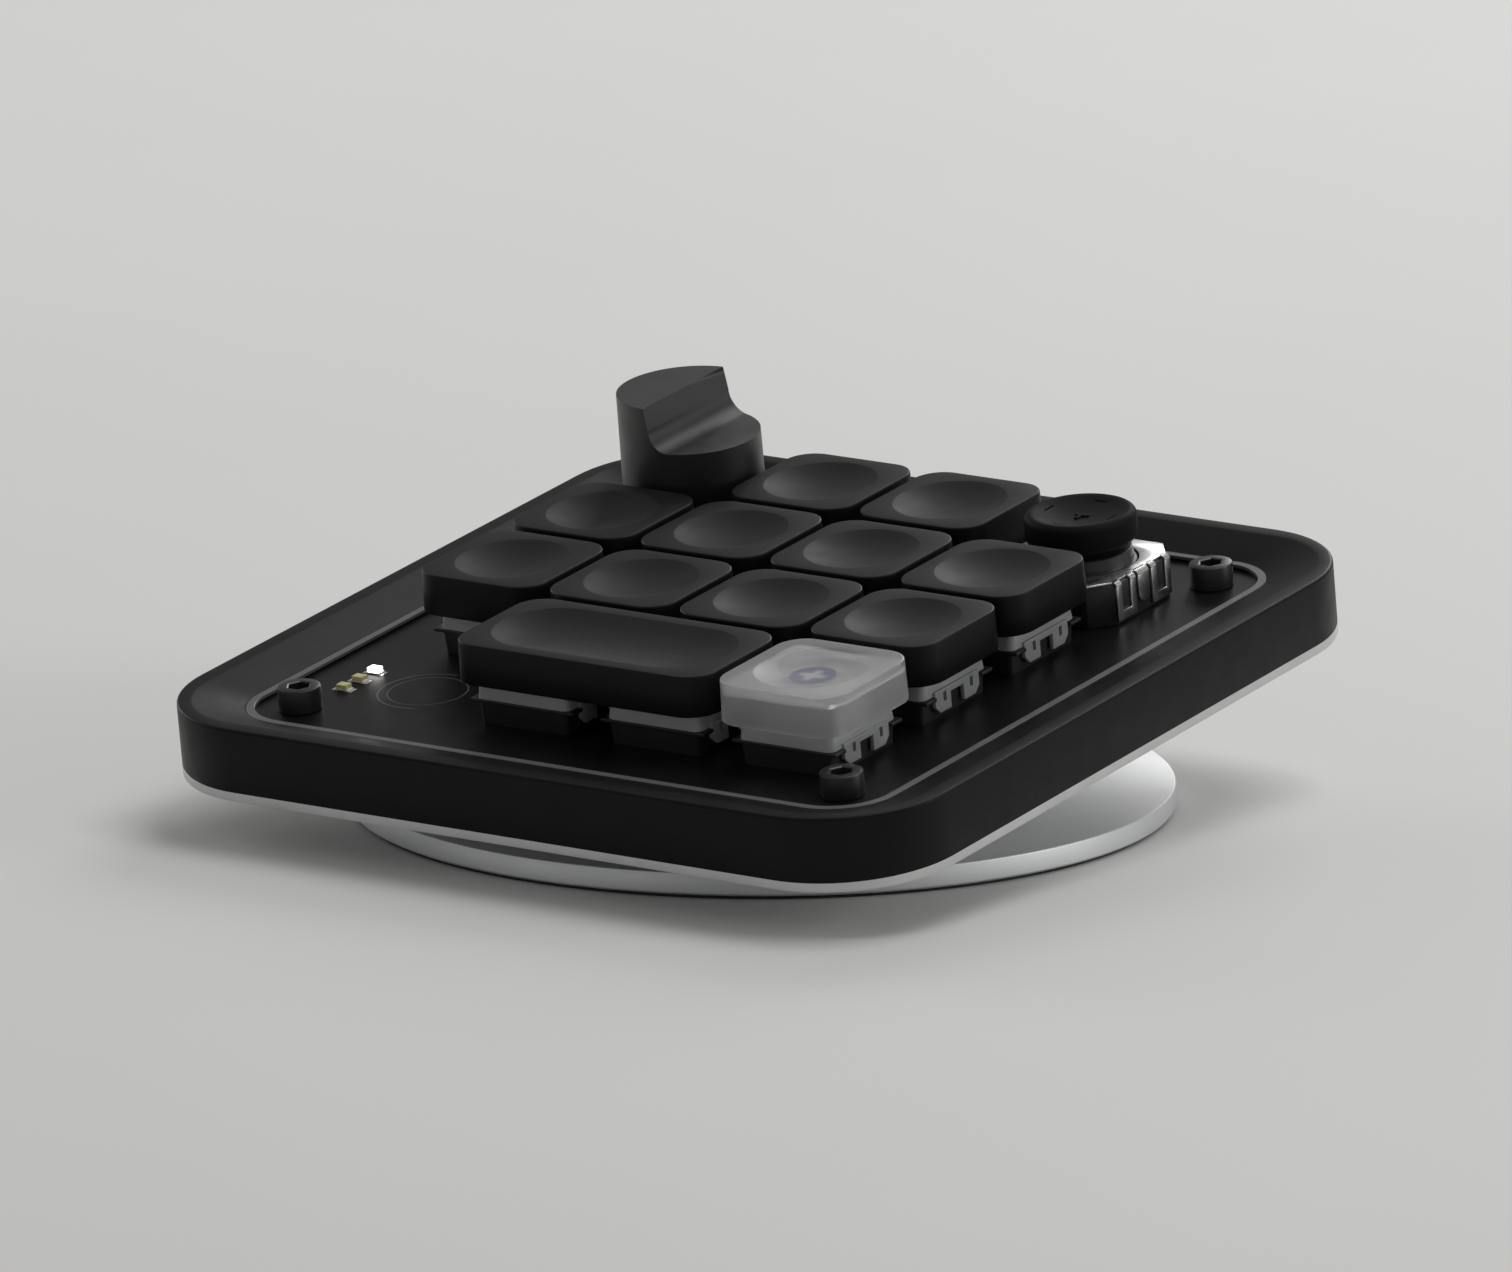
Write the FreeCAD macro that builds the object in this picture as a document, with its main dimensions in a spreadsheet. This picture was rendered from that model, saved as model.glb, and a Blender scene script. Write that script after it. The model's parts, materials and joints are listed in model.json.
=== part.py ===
"""Macro keypad on a tilted swivel stand, with a knob and a thumb joystick.

Lengths are millimetres. +X is the user's right, +Y points away from the user and +Z is up.
The origin lies on the desk, at the centre of the stand's foot. The keypad's own pieces are
drawn in the keypad's frame, whose origin is the middle of the bottom plate's underside,
and one placement lifts and tilts that frame onto the stand.
"""
import FreeCAD, Part
import math
import os

import Sketcher
from FreeCAD import Placement, Rotation, Vector

TILT_ANGLE = 8.0
FULL_TURN = 360.0
QUARTER_TURN = 90.0
COLUMNS = 4
ROWS = 4

# How many flat facets stand for a round outline, or for one round corner
DISC_FACETS = 40
HEAD_FACETS = 24
KNOB_FACETS = 32
THUMB_FACETS = 20
RING_FACETS = 20
DISH_FACETS = 16
SCREW_FACETS = 12
PIN_FACETS = 8
SCOOP_FACETS = 7
POST_FACETS = 6
CASE_CORNER_FACETS = 6
CORNER_FACETS = 3
PLAIN_FACETS = 1

SIZES = {
    # Layout of the keypad, heights measured from the underside of the bottom plate
    "key_pitch": 19.05,
    "board_lift": 12.9,
    "case_width": 108.8,
    "case_corner": 15.2,
    "plate_thick": 1.2,
    "rim_height": 9.2,
    "rim_inner_width": 104.0,
    "rim_round": 0.55,
    "lip_outer_width": 94.1,
    "lip_outer_corner": 8.6,
    "lip_inner_width": 91.0,
    "lip_inner_corner": 7.0,
    "lip_height": 7.45,
    "lip_thick": 0.6,
    "board_width": 101.0,
    "board_corner": 11.3,
    "board_thick": 1.6,
    "board_gap": 0.2,
    # Screws that clamp the board, and their standoffs
    "screw_spacing": 79.0,
    "screw_head_radius": 2.65,
    "screw_head_height": 3.0,
    "screw_hex_width": 2.5,
    "screw_hex_depth": 1.6,
    "screw_shank_radius": 1.5,
    "screw_shank_length": 5.0,
    "screw_hole_gap": 0.15,
    "standoff_radius": 2.75,
    # Stand
    "foot_thick": 0.5,
    "foot_inset": 0.8,
    "base_radius": 49.8,
    "base_band": 2.1,
    "base_chamfer": 0.6,
    "flare_low_radius": 27.9,
    "flare_low_height": 0.95,
    "flare_middle_radius": 22.6,
    "flare_middle_height": 2.6,
    "flare_high_radius": 19.2,
    "flare_high_height": 6.5,
    "neck_radius": 15.0,
    "head_radius": 14.1,
    "head_length": 6.7,
    "swivel_gap": 0.1,
    "swivel_side_gap": 0.3,
    "washer_thick": 0.5,
    "washer_width": 3.6,
    "recess_depth": 1.3,
    "recess_roof": 0.8,
    "recess_wall": 2.6,
    "magnet_radius": 9.5,
    "magnet_thick": 3.0,
    "magnet_gap": 0.1,
    "target_radius": 11.0,
    "target_thick": 1.0,
    # Key caps
    "cap_width": 18.05,
    "cap_corner": 3.8,
    "cap_bottom": 12.4,
    "cap_height": 5.1,
    "cap_round": 0.35,
    "cap_wall": 1.25,
    "cap_inner_corner": 0.8,
    "cap_cavity": 3.2,
    "dish_radius": 6.95,
    "dish_floor_radius": 4.2,
    "dish_depth": 0.95,
    "peg_spacing": 5.7,
    "peg_width": 1.2,
    "peg_depth": 3.0,
    "peg_length": 2.7,
    "peg_gap": 0.05,
    # Low switches, heights measured from the top of the circuit board
    "base_width": 13.0,
    "base_height": 3.1,
    "base_floor": 0.5,
    "base_draft": 4.0,
    "base_cavity_width": 11.9,
    "flange_width": 15.0,
    "flange_depth": 13.9,
    "flange_thick": 0.45,
    "flange_notch": 9.6,
    "post_radius": 1.7,
    "post_length": 2.4,
    "post_gap": 0.05,
    "guide_width": 1.4,
    "guide_height": 1.0,
    "top_width": 13.6,
    "top_height": 2.05,
    "top_roof": 0.8,
    "top_draft": 6.0,
    "top_cavity_width": 11.8,
    "top_window_width": 10.4,
    "top_window_depth": 5.0,
    "clip_width": 9.2,
    "clip_drop": 2.3,
    "clip_thick": 0.55,
    "clip_gap_width": 2.2,
    "clip_gap_height": 1.7,
    "clip_point": 0.9,
    "stem_side_gap": 0.2,
    "stem_shoulder_width": 11.2,
    "stem_shoulder_depth": 6.6,
    "stem_shoulder_thick": 0.75,
    "stem_stop_gap": 0.1,
    "stem_bore_radius": 1.75,
    "stem_bore_depth": 2.55,
    "spring_radius": 1.6,
    "spring_inner_radius": 1.2,
    # Contact sockets and chip under the board
    "socket_length": 9.6,
    "socket_width": 4.4,
    "socket_step": 3.0,
    "socket_thick": 1.8,
    "socket_offset": 4.85,
    "chip_width": 7.0,
    "chip_thick": 0.9,
    # Status lights
    "light_length": 2.0,
    "light_width": 1.25,
    "light_height": 0.8,
    "light_column": 38.6,
    "light_row": 28.7,
    "light_pitch": 3.2,
    # Rear socket
    "port_width": 8.94,
    "port_height": 3.26,
    "port_depth": 7.35,
    "port_wall": 0.3,
    "port_floor": 1.2,
    "port_tongue_width": 6.7,
    "port_tongue_height": 0.7,
    "port_tongue_length": 4.4,
    "port_inset": 0.8,
    "port_gap": 0.3,
    # Encoder, heights measured from the top of the circuit board
    "encoder_width": 11.8,
    "encoder_height": 6.5,
    "encoder_floor": 1.0,
    "encoder_roof": 0.9,
    "encoder_cavity_radius": 4.6,
    "rotor_radius": 4.3,
    "rotor_gap": 0.15,
    "bushing_radius": 3.5,
    "bushing_height": 3.0,
    "shaft_radius": 2.5,
    "shaft_gap": 0.05,
    "shaft_top": 13.4,
    "shaft_bottom": 1.7,
    "shaft_flat": 1.0,
    "shaft_flat_length": 3.4,
    "knob_bottom": 7.1,
    "knob_height": 13.1,
    "knob_radius": 8.75,
    "knob_ridge": 0.5,
    "knob_shelf": 5.6,
    "knob_cavity_radius": 5.2,
    "knob_cavity_depth": 3.3,
    "knob_bore_depth": 3.2,
    # Joystick, heights measured from the top of the circuit board
    "stick_base_width": 16.6,
    "stick_base_height": 5.1,
    "stick_base_chamfer": 2.6,
    "stick_floor": 0.6,
    "stick_opening_radius": 6.8,
    "can_width": 17.2,
    "can_thick": 0.4,
    "can_chamfer": 2.8,
    "tab_thick": 0.3,
    "tab_drop": 3.9,
    "tab_width": 3.1,
    "tab_gap": 0.9,
    "tab_rim": 0.75,
    "tongue_width": 1.9,
    "tongue_drop": 3.1,
    "pivot_height": 3.6,
    "cradle_radius": 6.3,
    "cradle_bottom": 1.0,
    "cradle_thick": 0.5,
    "ear_inner": 3.95,
    "ear_outer": 4.95,
    "ear_width": 2.6,
    "ear_top": 4.5,
    "pin_radius": 0.5,
    "pin_gap": 0.08,
    "ring_radius": 3.7,
    "ring_inner_radius": 2.6,
    "ring_height": 1.5,
    "hub_radius": 1.9,
    "hub_below": 1.6,
    "hub_above": 1.2,
    "hub_taper": 0.9,
    "hub_shoulder": 0.4,
    "stick_radius": 1.5,
    "stick_length": 6.8,
    "dome_radius": 6.2,
    "dome_taper": 0.65,
    "dome_hollow_radius": 5.5,
    "dome_hollow_height": 2.3,
    "dome_crown_radius": 4.9,
    "dome_rim": 1.0,
    "dome_top": 3.5,
    "dome_roof": 0.6,
    "neck_top": 4.25,
    "thumb_neck_radius": 4.4,
    "thumb_radius": 6.85,
    "thumb_top": 8.2,
    "thumb_round": 0.9,
    "thumb_rim": 0.6,
    "thumb_dish": 0.9,
    "thumb_dish_radius": 5.95,
    "thumb_floor_radius": 3.3,
    "bevel_step": 0.1,
    "fit_gap": 0.05,
    "cut_overrun": 1.0,
}


class Length:
    """A length in the sheet, or one worked out from it: the text to bind, and its number."""

    def __init__(self, text, number):
        self.text = text
        self.number = number

    def joined(self, sign, other, number):
        return Length(f"({self.text} {sign} {text_of(other)})", number)

    def __add__(self, other):
        return self.joined("+", other, self.number + number_of(other))

    def __sub__(self, other):
        return self.joined("-", other, self.number - number_of(other))

    def __mul__(self, other):
        return self.joined("*", other, self.number * number_of(other))

    def __truediv__(self, other):
        return self.joined("/", other, self.number / number_of(other))

    def __neg__(self):
        return Length(f"(-{self.text})", -self.number)


def text_of(value):
    return value.text if isinstance(value, Length) else str(value)


def number_of(value):
    return value.number if isinstance(value, Length) else value


def make_sheet():
    """Fills the sheet, one aliased cell for each driving dimension."""
    cells = DOC.addObject("Spreadsheet::Sheet", "Sizes")
    for row, (name, number) in enumerate(SIZES.items(), start=1):
        cells.set(f"A{row}", name)
        cells.set(f"B{row}", str(number))
        cells.setAlias(f"B{row}", name)
    DOC.recompute()
    return cells


class Sheet:
    """Gives each driving dimension by its name, as sheet.cap_width."""

    def __getattr__(self, name):
        return Length(f"Sizes.{name}", SIZES[name])


DOC = FreeCAD.newDocument("MacroKeypad")
make_sheet()
sheet = Sheet()

# Heights and places that several pieces share
board_top = sheet.lip_height - sheet.lip_thick
board_bottom = board_top - sheet.board_thick
grid_edge = sheet.key_pitch * 1.5
cap_roof = sheet.cap_bottom + sheet.cap_cavity
stem_top = cap_roof - board_top
top_roof_under = sheet.base_height + sheet.top_height - sheet.top_roof
stem_bottom = top_roof_under - sheet.stem_stop_gap - sheet.stem_shoulder_thick
port_height_centre = board_bottom - sheet.port_height / 2
port_front = sheet.case_width / 2 - sheet.port_inset
shaft_bore_radius = sheet.shaft_radius + sheet.shaft_gap

KEYPAD = Placement(Vector(0, 0, SIZES["board_lift"]), Rotation(Vector(1, 0, 0), TILT_ANGLE))
finished = []


def keypad_place(x=0, y=0, z=0):
    """Gives the placement of a piece whose own origin is at x, y, z in the keypad's frame."""
    spot = Vector(number_of(x), number_of(y), number_of(z))
    return KEYPAD * Placement(spot, Rotation())


def key_centre(column, row):
    """Gives x and y of a key's centre; column 1 is left and row 1 is nearest the user."""
    x = sheet.key_pitch * (column - (COLUMNS + 1) / 2)
    y = sheet.key_pitch * (row - (ROWS + 1) / 2)
    return x, y


def keep(piece, label, place=None):
    """Names a finished sub-part, places it and lists it for writing."""
    piece.Label = label
    if place is not None:
        piece.Placement = place
    finished.append(piece)
    return piece


def bind(thing, prop, length):
    """Sets a property, bound to the sheet where the length comes from it."""
    if isinstance(length, Length):
        thing.setExpression(prop, length.text)
    elif "." not in prop:
        setattr(thing, prop, length)


def new_body(name):
    return DOC.addObject("PartDesign::Body", name)


def origin_plane(body, role):
    return next(item for item in body.Origin.OriginFeatures if item.Role == role)


def new_sketch(body, name, role="XY_Plane", x=0, y=0, z=0):
    """Puts an empty sketch on one of the body's planes, moved by x, y and z in that plane."""
    sketch = body.newObject("Sketcher::SketchObject", name)
    sketch.AttachmentSupport = [(origin_plane(body, role), "")]
    sketch.MapMode = "FlatFace"
    for axis, length in zip("xyz", (x, y, z)):
        bind(sketch, f"AttachmentOffset.Base.{axis}", length)
    return sketch


def tie(kind, edge, end, length):
    """Makes the constraint on one coordinate of a vertex, with the text to bind it to."""
    if not isinstance(length, Length):
        axis = -2 if kind == "DistanceX" else -1
        return Sketcher.Constraint("PointOnObject", edge, end, axis), None
    return Sketcher.Constraint(kind, -1, 1, edge, end, length.number), length.text


def add_ties(sketch, ties):
    """Adds constraints all at once, and binds those that have a text to the sheet."""
    first = sketch.ConstraintCount
    sketch.addConstraint([constraint for constraint, _ in ties])
    for index, (_, text) in enumerate(ties, start=first):
        if text is not None:
            sketch.setExpression(f"Constraints[{index}]", text)


def draw_outline(sketch, points):
    """Draws a closed outline of straight edges, with both coordinates of each corner bound."""
    corners = [Vector(number_of(x), number_of(y), 0) for x, y in points]
    first = sketch.GeometryCount
    count = len(points)
    sketch.addGeometry([Part.LineSegment(corners[index], corners[(index + 1) % count])
                        for index in range(count)], False)
    ties = []
    for index, (x, y) in enumerate(points):
        edge, following = first + index, first + (index + 1) % count
        ties += [(Sketcher.Constraint("Coincident", edge, 2, following, 1), None),
                 tie("DistanceX", edge, 1, x), tie("DistanceY", edge, 1, y)]
    add_ties(sketch, ties)
    return sketch


def draw_rectangle(sketch, width, depth):
    right = width / 2
    back = depth / 2
    return draw_outline(sketch, [(-right, -back), (right, -back), (right, back), (-right, back)])


def arc_points(x, y, radius, start, sweep, facets):
    """Lists the corners of a faceted arc about x, y; angles are in degrees."""
    points = []
    for step in range(facets + 1):
        angle = math.radians(start + sweep * step / facets)
        points.append((radius * round(math.cos(angle), 7) + x,
                       radius * round(math.sin(angle), 7) + y))
    return points


def draw_circle(sketch, radius, x=0, y=0):
    """Draws a true circle, for the round faces that pieces turn on."""
    centre = Vector(number_of(x), number_of(y), 0)
    edge = sketch.addGeometry(Part.Circle(centre, Vector(0, 0, 1), number_of(radius)), False)
    add_ties(sketch, [(Sketcher.Constraint("Radius", edge, number_of(radius)), radius.text),
                      tie("DistanceX", edge, 3, x), tie("DistanceY", edge, 3, y)])
    return sketch


def draw_faceted(sketch, radius, facets, x=0, y=0, stretch=None):
    """Draws a round outline with flat facets; a stretch pulls its halves apart along x."""
    points = []
    for step in range(facets):
        angle = math.radians(FULL_TURN * (step + 0.5) / facets)
        across, along = round(math.cos(angle), 7), round(math.sin(angle), 7)
        right = radius * across + x
        if stretch is not None:
            right = right + stretch / 2 if across > 0 else right - stretch / 2
        points.append((right, radius * along + y))
    return draw_outline(sketch, points)


def draw_rounded(sketch, width, depth, corner, facets=CORNER_FACETS):
    """Draws a rectangle with faceted round corners, centred on the sketch's origin."""
    inner, low = width / 2 - corner, depth / 2 - corner
    points = []
    for quarter, (x, y) in enumerate(((inner, low), (-inner, low), (-inner, -low),
                                      (inner, -low))):
        points += arc_points(x, y, corner, quarter * QUARTER_TURN, QUARTER_TURN, facets)
    return draw_outline(sketch, points)


def draw_chamfered(sketch, width, depth, corner):
    """Draws a rectangle with cut corners, centred on the sketch's origin."""
    right, back = width / 2, depth / 2
    inner, low = right - corner, back - corner
    return draw_outline(sketch, [
        (-inner, -back), (inner, -back), (right, -low), (right, low),
        (inner, back), (-inner, back), (-right, low), (-right, -low)])


def add_feature(body, kind, sketch, name):
    feature = body.newObject(f"PartDesign::{kind}", name)
    feature.Profile = sketch
    return feature


def pad(body, sketch, length, name, draft=None, backward=False, both_ways=False):
    """Pads along the sketch's normal, or against it if asked; a draft narrows the pad."""
    feature = add_feature(body, "Pad", sketch, name)
    bind(feature, "Length", length)
    feature.Reversed = backward
    if draft is not None:
        bind(feature, "TaperAngle", -draft)
    if both_ways:
        feature.SideType = "Symmetric"
    return feature


def pocket(body, sketch, length, name, forward=False, both_ways=False):
    """Cuts against the sketch's normal, or along it if asked."""
    feature = add_feature(body, "Pocket", sketch, name)
    bind(feature, "Length", length)
    feature.Reversed = forward
    if both_ways:
        feature.SideType = "Symmetric"
    return feature


def edges_of(feature, wanted):
    """Names the edges of a computed feature that pass a test."""
    DOC.recompute()
    found = [f"Edge{index}" for index, edge in enumerate(feature.Shape.Edges, start=1)
             if wanted(edge.BoundBox)]
    if not found:
        raise RuntimeError(f"no edge to dress on {feature.Name}")
    return found


def bevel(body, feature, edges, run, drop, name):
    """Chamfers level edges by a run along the level face and a drop along the wall."""
    edge = feature.Shape.getElement(edges[0])
    first_face = feature.Shape.ancestorsOfType(edge, Part.Face)[0]
    wall_first = first_face.BoundBox.ZLength > SIZES["fit_gap"]
    chamfer = body.newObject("PartDesign::Chamfer", name)
    chamfer.Base = (feature, edges)
    chamfer.ChamferType = "Two distances"
    bind(chamfer, "Size", drop if wall_first else run)
    bind(chamfer, "Size2", run if wall_first else drop)
    return chamfer


def level_at(height, reach=None):
    """Tests for a level edge at a height in its body's frame, no farther out than reach."""
    level, slack = number_of(height), SIZES["fit_gap"]

    def wanted(box):
        far = max(-box.XMin, box.XMax, -box.YMin, box.YMax)
        near = reach is None or far < number_of(reach) + slack
        return near and box.ZMin > level - slack and box.ZMax < level + slack

    return wanted


def box(name, width, depth, height, place):
    """Makes a plain block whose own origin is its lowest corner."""
    piece = DOC.addObject("Part::Box", name)
    bind(piece, "Length", width)
    bind(piece, "Width", depth)
    bind(piece, "Height", height)
    piece.Placement = place
    return piece


def combined(kind, base, tool, name):
    piece = DOC.addObject(f"Part::{kind}", name)
    piece.Base = base
    piece.Tool = tool
    return piece


def repeated(label, master, places):
    """Groups copies of one piece, each a separate solid, in one node."""
    links = []
    for index, place in enumerate(places, start=1):
        link = DOC.addObject("App::Link", f"{label}_{index}")
        link.setLink(master)
        link.Placement = place
        links.append(link)
    group = DOC.addObject("Part::Compound", label)
    group.Links = links
    return keep(group, label)


# Stand

def make_stand_base():
    """Makes the disc with its trumpet, and adds the tilted head with the magnet's pocket."""
    body = new_body("stand_base_body")
    band = sheet.foot_thick + sheet.base_band
    top = band + sheet.base_chamfer
    outline = new_sketch(body, "disc_outline", z=sheet.foot_thick)
    draw_faceted(outline, sheet.base_radius, DISC_FACETS)
    disc = pad(body, outline, top - sheet.foot_thick, "stand_disc")
    rim = edges_of(disc, level_at(top))
    bevel(body, disc, rim, sheet.base_chamfer, sheet.base_chamfer, "stand_rim")
    levels = [(sheet.flare_low_radius, 0),
              (sheet.flare_middle_radius, sheet.flare_low_height),
              (sheet.flare_high_radius, sheet.flare_middle_height),
              (sheet.neck_radius, sheet.flare_high_height)]
    solid = body
    for index, (radius, low) in enumerate(levels[:-1]):
        upper, high = levels[index + 1]
        flare = new_body(f"flare_{index}")
        ring = new_sketch(flare, f"flare_{index}_outline", z=band)
        draw_faceted(ring, radius, HEAD_FACETS)
        step = pad(flare, ring, sheet.base_chamfer + high, f"flare_{index}_pad")
        bevel(flare, step, edges_of(step, level_at(top + high)), radius - upper,
              high - low - sheet.bevel_step, f"flare_{index}_slope")
        solid = combined("Fuse", solid, flare, f"stand_with_flare_{index}")

    head_top = sheet.recess_depth - sheet.swivel_gap - sheet.washer_thick
    drum = new_body("stand_head")
    circle = new_sketch(drum, "head_circle", z=head_top - sheet.head_length)
    draw_faceted(circle, sheet.head_radius, HEAD_FACETS)
    pad(drum, circle, sheet.head_length, "head_drum")
    drum.Placement = keypad_place()
    solid = combined("Fuse", solid, drum, "stand_with_head")
    deep = sheet.magnet_thick + sheet.magnet_gap
    hollow = new_body("magnet_pocket")
    circle = new_sketch(hollow, "pocket_circle", z=head_top - deep)
    draw_circle(circle, sheet.magnet_radius + sheet.magnet_gap)
    pad(hollow, circle, deep + sheet.cut_overrun, "pocket_drum")
    hollow.Placement = keypad_place()
    keep(combined("Cut", solid, hollow, "stand_base"), "stand_base")

    magnet = new_body("stand_magnet")
    circle = new_sketch(magnet, "magnet_circle")
    draw_circle(circle, sheet.magnet_radius)
    pad(magnet, circle, sheet.magnet_thick, "magnet_pad")
    keep(magnet, "stand_magnet", keypad_place(z=head_top - deep))

    washer = new_body("swivel_washer")
    rings = new_sketch(washer, "washer_rings")
    draw_faceted(rings, sheet.head_radius, HEAD_FACETS)
    draw_faceted(rings, sheet.head_radius - sheet.washer_width, HEAD_FACETS)
    pad(washer, rings, sheet.washer_thick, "washer_pad")
    keep(washer, "swivel_washer", keypad_place(z=head_top))


def make_foot_pad():
    """Makes the rubber pad under the disc."""
    body = new_body("stand_foot_pad")
    outline = new_sketch(body, "foot_circle")
    draw_faceted(outline, sheet.base_radius - sheet.foot_inset, DISC_FACETS)
    pad(body, outline, sheet.foot_thick, "foot_pad")
    keep(body, "stand_foot_pad", Placement())


# Case

def make_bottom_plate():
    """Makes the light plate, with a round recess below that turns on the stand's head."""
    body = new_body("bottom_plate")
    outline = new_sketch(body, "plate_outline")
    draw_rounded(outline, sheet.case_width, sheet.case_width, sheet.case_corner,
                 CASE_CORNER_FACETS)
    pad(body, outline, sheet.plate_thick, "plate_pad")
    recess_radius = sheet.head_radius + sheet.swivel_side_gap
    boss = new_sketch(body, "boss_circle")
    draw_faceted(boss, recess_radius + sheet.recess_wall, HEAD_FACETS)
    pad(body, boss, sheet.recess_depth + sheet.recess_roof, "boss_pad")
    recess = new_sketch(body, "recess_circle")
    draw_faceted(recess, recess_radius, HEAD_FACETS)
    pocket(body, recess, sheet.recess_depth, "recess_cut", forward=True)
    keep(body, "bottom_plate", keypad_place())
    target = new_body("steel_target")
    circle = new_sketch(target, "target_circle")
    draw_circle(circle, sheet.target_radius)
    pad(target, circle, sheet.target_thick, "target_pad")
    keep(target, "steel_target", keypad_place(z=sheet.recess_depth + sheet.recess_roof))


def make_frame():
    """Makes the black surround: raised rim, slope, thin lip and the room for the board."""
    body = new_body("frame")
    outline = new_sketch(body, "frame_outline", z=sheet.plate_thick)
    draw_rounded(outline, sheet.case_width, sheet.case_width, sheet.case_corner,
                 CASE_CORNER_FACETS)
    block = pad(body, outline, sheet.rim_height - sheet.plate_thick, "frame_pad")
    rim = edges_of(block, level_at(sheet.rim_height))
    bevel(body, block, rim, sheet.rim_round, sheet.rim_round, "rim_bevel")

    low = new_sketch(body, "slope_outline", z=sheet.rim_height)
    draw_rounded(low, sheet.lip_outer_width, sheet.lip_outer_width, sheet.lip_outer_corner,
                 CASE_CORNER_FACETS)
    deep = sheet.rim_height - sheet.lip_height
    well = pocket(body, low, deep, "slope_well")
    edges = edges_of(well, level_at(sheet.rim_height, sheet.lip_outer_width / 2))
    run = (sheet.rim_inner_width - sheet.lip_outer_width) / 2
    bevel(body, well, edges, run, deep - sheet.fit_gap, "frame_slope")

    lip = new_sketch(body, "lip_opening", z=sheet.rim_height)
    draw_rounded(lip, sheet.lip_inner_width, sheet.lip_inner_width, sheet.lip_inner_corner,
                 CASE_CORNER_FACETS)
    pocket(body, lip, sheet.rim_height, "lip_cut")
    room = new_sketch(body, "board_room")
    gap = sheet.board_gap * 2
    draw_rounded(room, sheet.board_width + gap, sheet.board_width + gap,
                 sheet.board_corner + sheet.board_gap, CASE_CORNER_FACETS)
    pocket(body, room, board_top, "room_cut", forward=True)

    mouth = new_sketch(body, "port_mouth", "XZ_Plane", y=port_height_centre,
                       z=-sheet.case_width / 2 - sheet.cut_overrun)
    wide, tall = sheet.port_width + sheet.port_gap * 2, sheet.port_height + sheet.port_gap * 2
    draw_rounded(mouth, wide, tall, tall / 2 - sheet.fit_gap)
    wall = (sheet.case_width - sheet.board_width) / 2 + sheet.cut_overrun * 2
    pocket(body, mouth, wall, "port_cut", forward=True)
    keep(body, "frame", keypad_place())


def switch_spots():
    """Lists column and row of every switch; the wide cap stands on two of them."""
    spots = []
    for row in range(1, ROWS + 1):
        for column in range(1, COLUMNS + 1):
            corner = (column, row) in ((1, 1), (1, ROWS), (COLUMNS, ROWS))
            if not corner:
                spots.append((column, row))
    return spots


def screw_spots():
    half = sheet.screw_spacing / 2
    return [(x, y) for x in (-half, half) for y in (-half, half)]


def make_circuit_board():
    """Makes the board with the holes for its screws and for the switches' posts."""
    body = new_body("circuit_board")
    outline = new_sketch(body, "board_outline", z=board_bottom)
    draw_rounded(outline, sheet.board_width, sheet.board_width, sheet.board_corner,
                 CASE_CORNER_FACETS)
    pad(body, outline, sheet.board_thick, "board_pad")
    holes = new_sketch(body, "board_holes", z=board_top)
    for x, y in screw_spots():
        draw_faceted(holes, sheet.screw_shank_radius + sheet.screw_hole_gap, POST_FACETS, x, y)
    for column, row in switch_spots():
        x, y = key_centre(column, row)
        draw_faceted(holes, sheet.post_radius + sheet.post_gap, POST_FACETS, x, y)
    pocket(body, holes, sheet.board_thick, "board_hole_cut")
    keep(body, "circuit_board", keypad_place())


def make_case_screws():
    """Makes the four socket-head screws and the standoffs that they go into."""
    body = new_body("case_screw")
    head = new_sketch(body, "head_circle")
    draw_faceted(head, sheet.screw_head_radius, SCREW_FACETS)
    pad(body, head, sheet.screw_head_height, "head_pad")
    flat, point = sheet.screw_hex_width / 2, sheet.screw_hex_width / math.sqrt(3)
    socket = new_sketch(body, "hex_socket", z=sheet.screw_head_height)
    draw_outline(socket, [(point, 0), (point / 2, flat), (-point / 2, flat),
                          (-point, 0), (-point / 2, -flat), (point / 2, -flat)])
    pocket(body, socket, sheet.screw_hex_depth, "hex_cut")
    shank = new_sketch(body, "shank_circle", z=-sheet.screw_shank_length)
    draw_faceted(shank, sheet.screw_shank_radius, POST_FACETS)
    pad(body, shank, sheet.screw_shank_length, "shank_pad")
    places = [keypad_place(x, y, board_top) for x, y in screw_spots()]
    repeated("case_screws", body, places)

    pillar = new_body("standoff")
    rings = new_sketch(pillar, "standoff_rings")
    draw_faceted(rings, sheet.standoff_radius, POST_FACETS)
    draw_faceted(rings, sheet.screw_shank_radius + sheet.fit_gap, POST_FACETS)
    pad(pillar, rings, board_bottom - sheet.plate_thick, "standoff_pad")
    places = [keypad_place(x, y, sheet.plate_thick) for x, y in screw_spots()]
    repeated("standoffs", pillar, places)


def make_status_lights():
    """Makes the three small lights beside the touch spot: two amber, the rear one lit."""
    def spot(step):
        x = -sheet.light_column - sheet.light_length / 2
        y = sheet.light_pitch * step - sheet.light_row - sheet.light_width / 2
        return keypad_place(x, y, board_top)

    master = box("amber_light", sheet.light_length, sheet.light_width, sheet.light_height,
                 Placement())
    repeated("status_leds_amber", master, [spot(-1), spot(0)])
    keep(box("status_led_lit", sheet.light_length, sheet.light_width, sheet.light_height,
             spot(1)), "status_led_lit")


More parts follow.
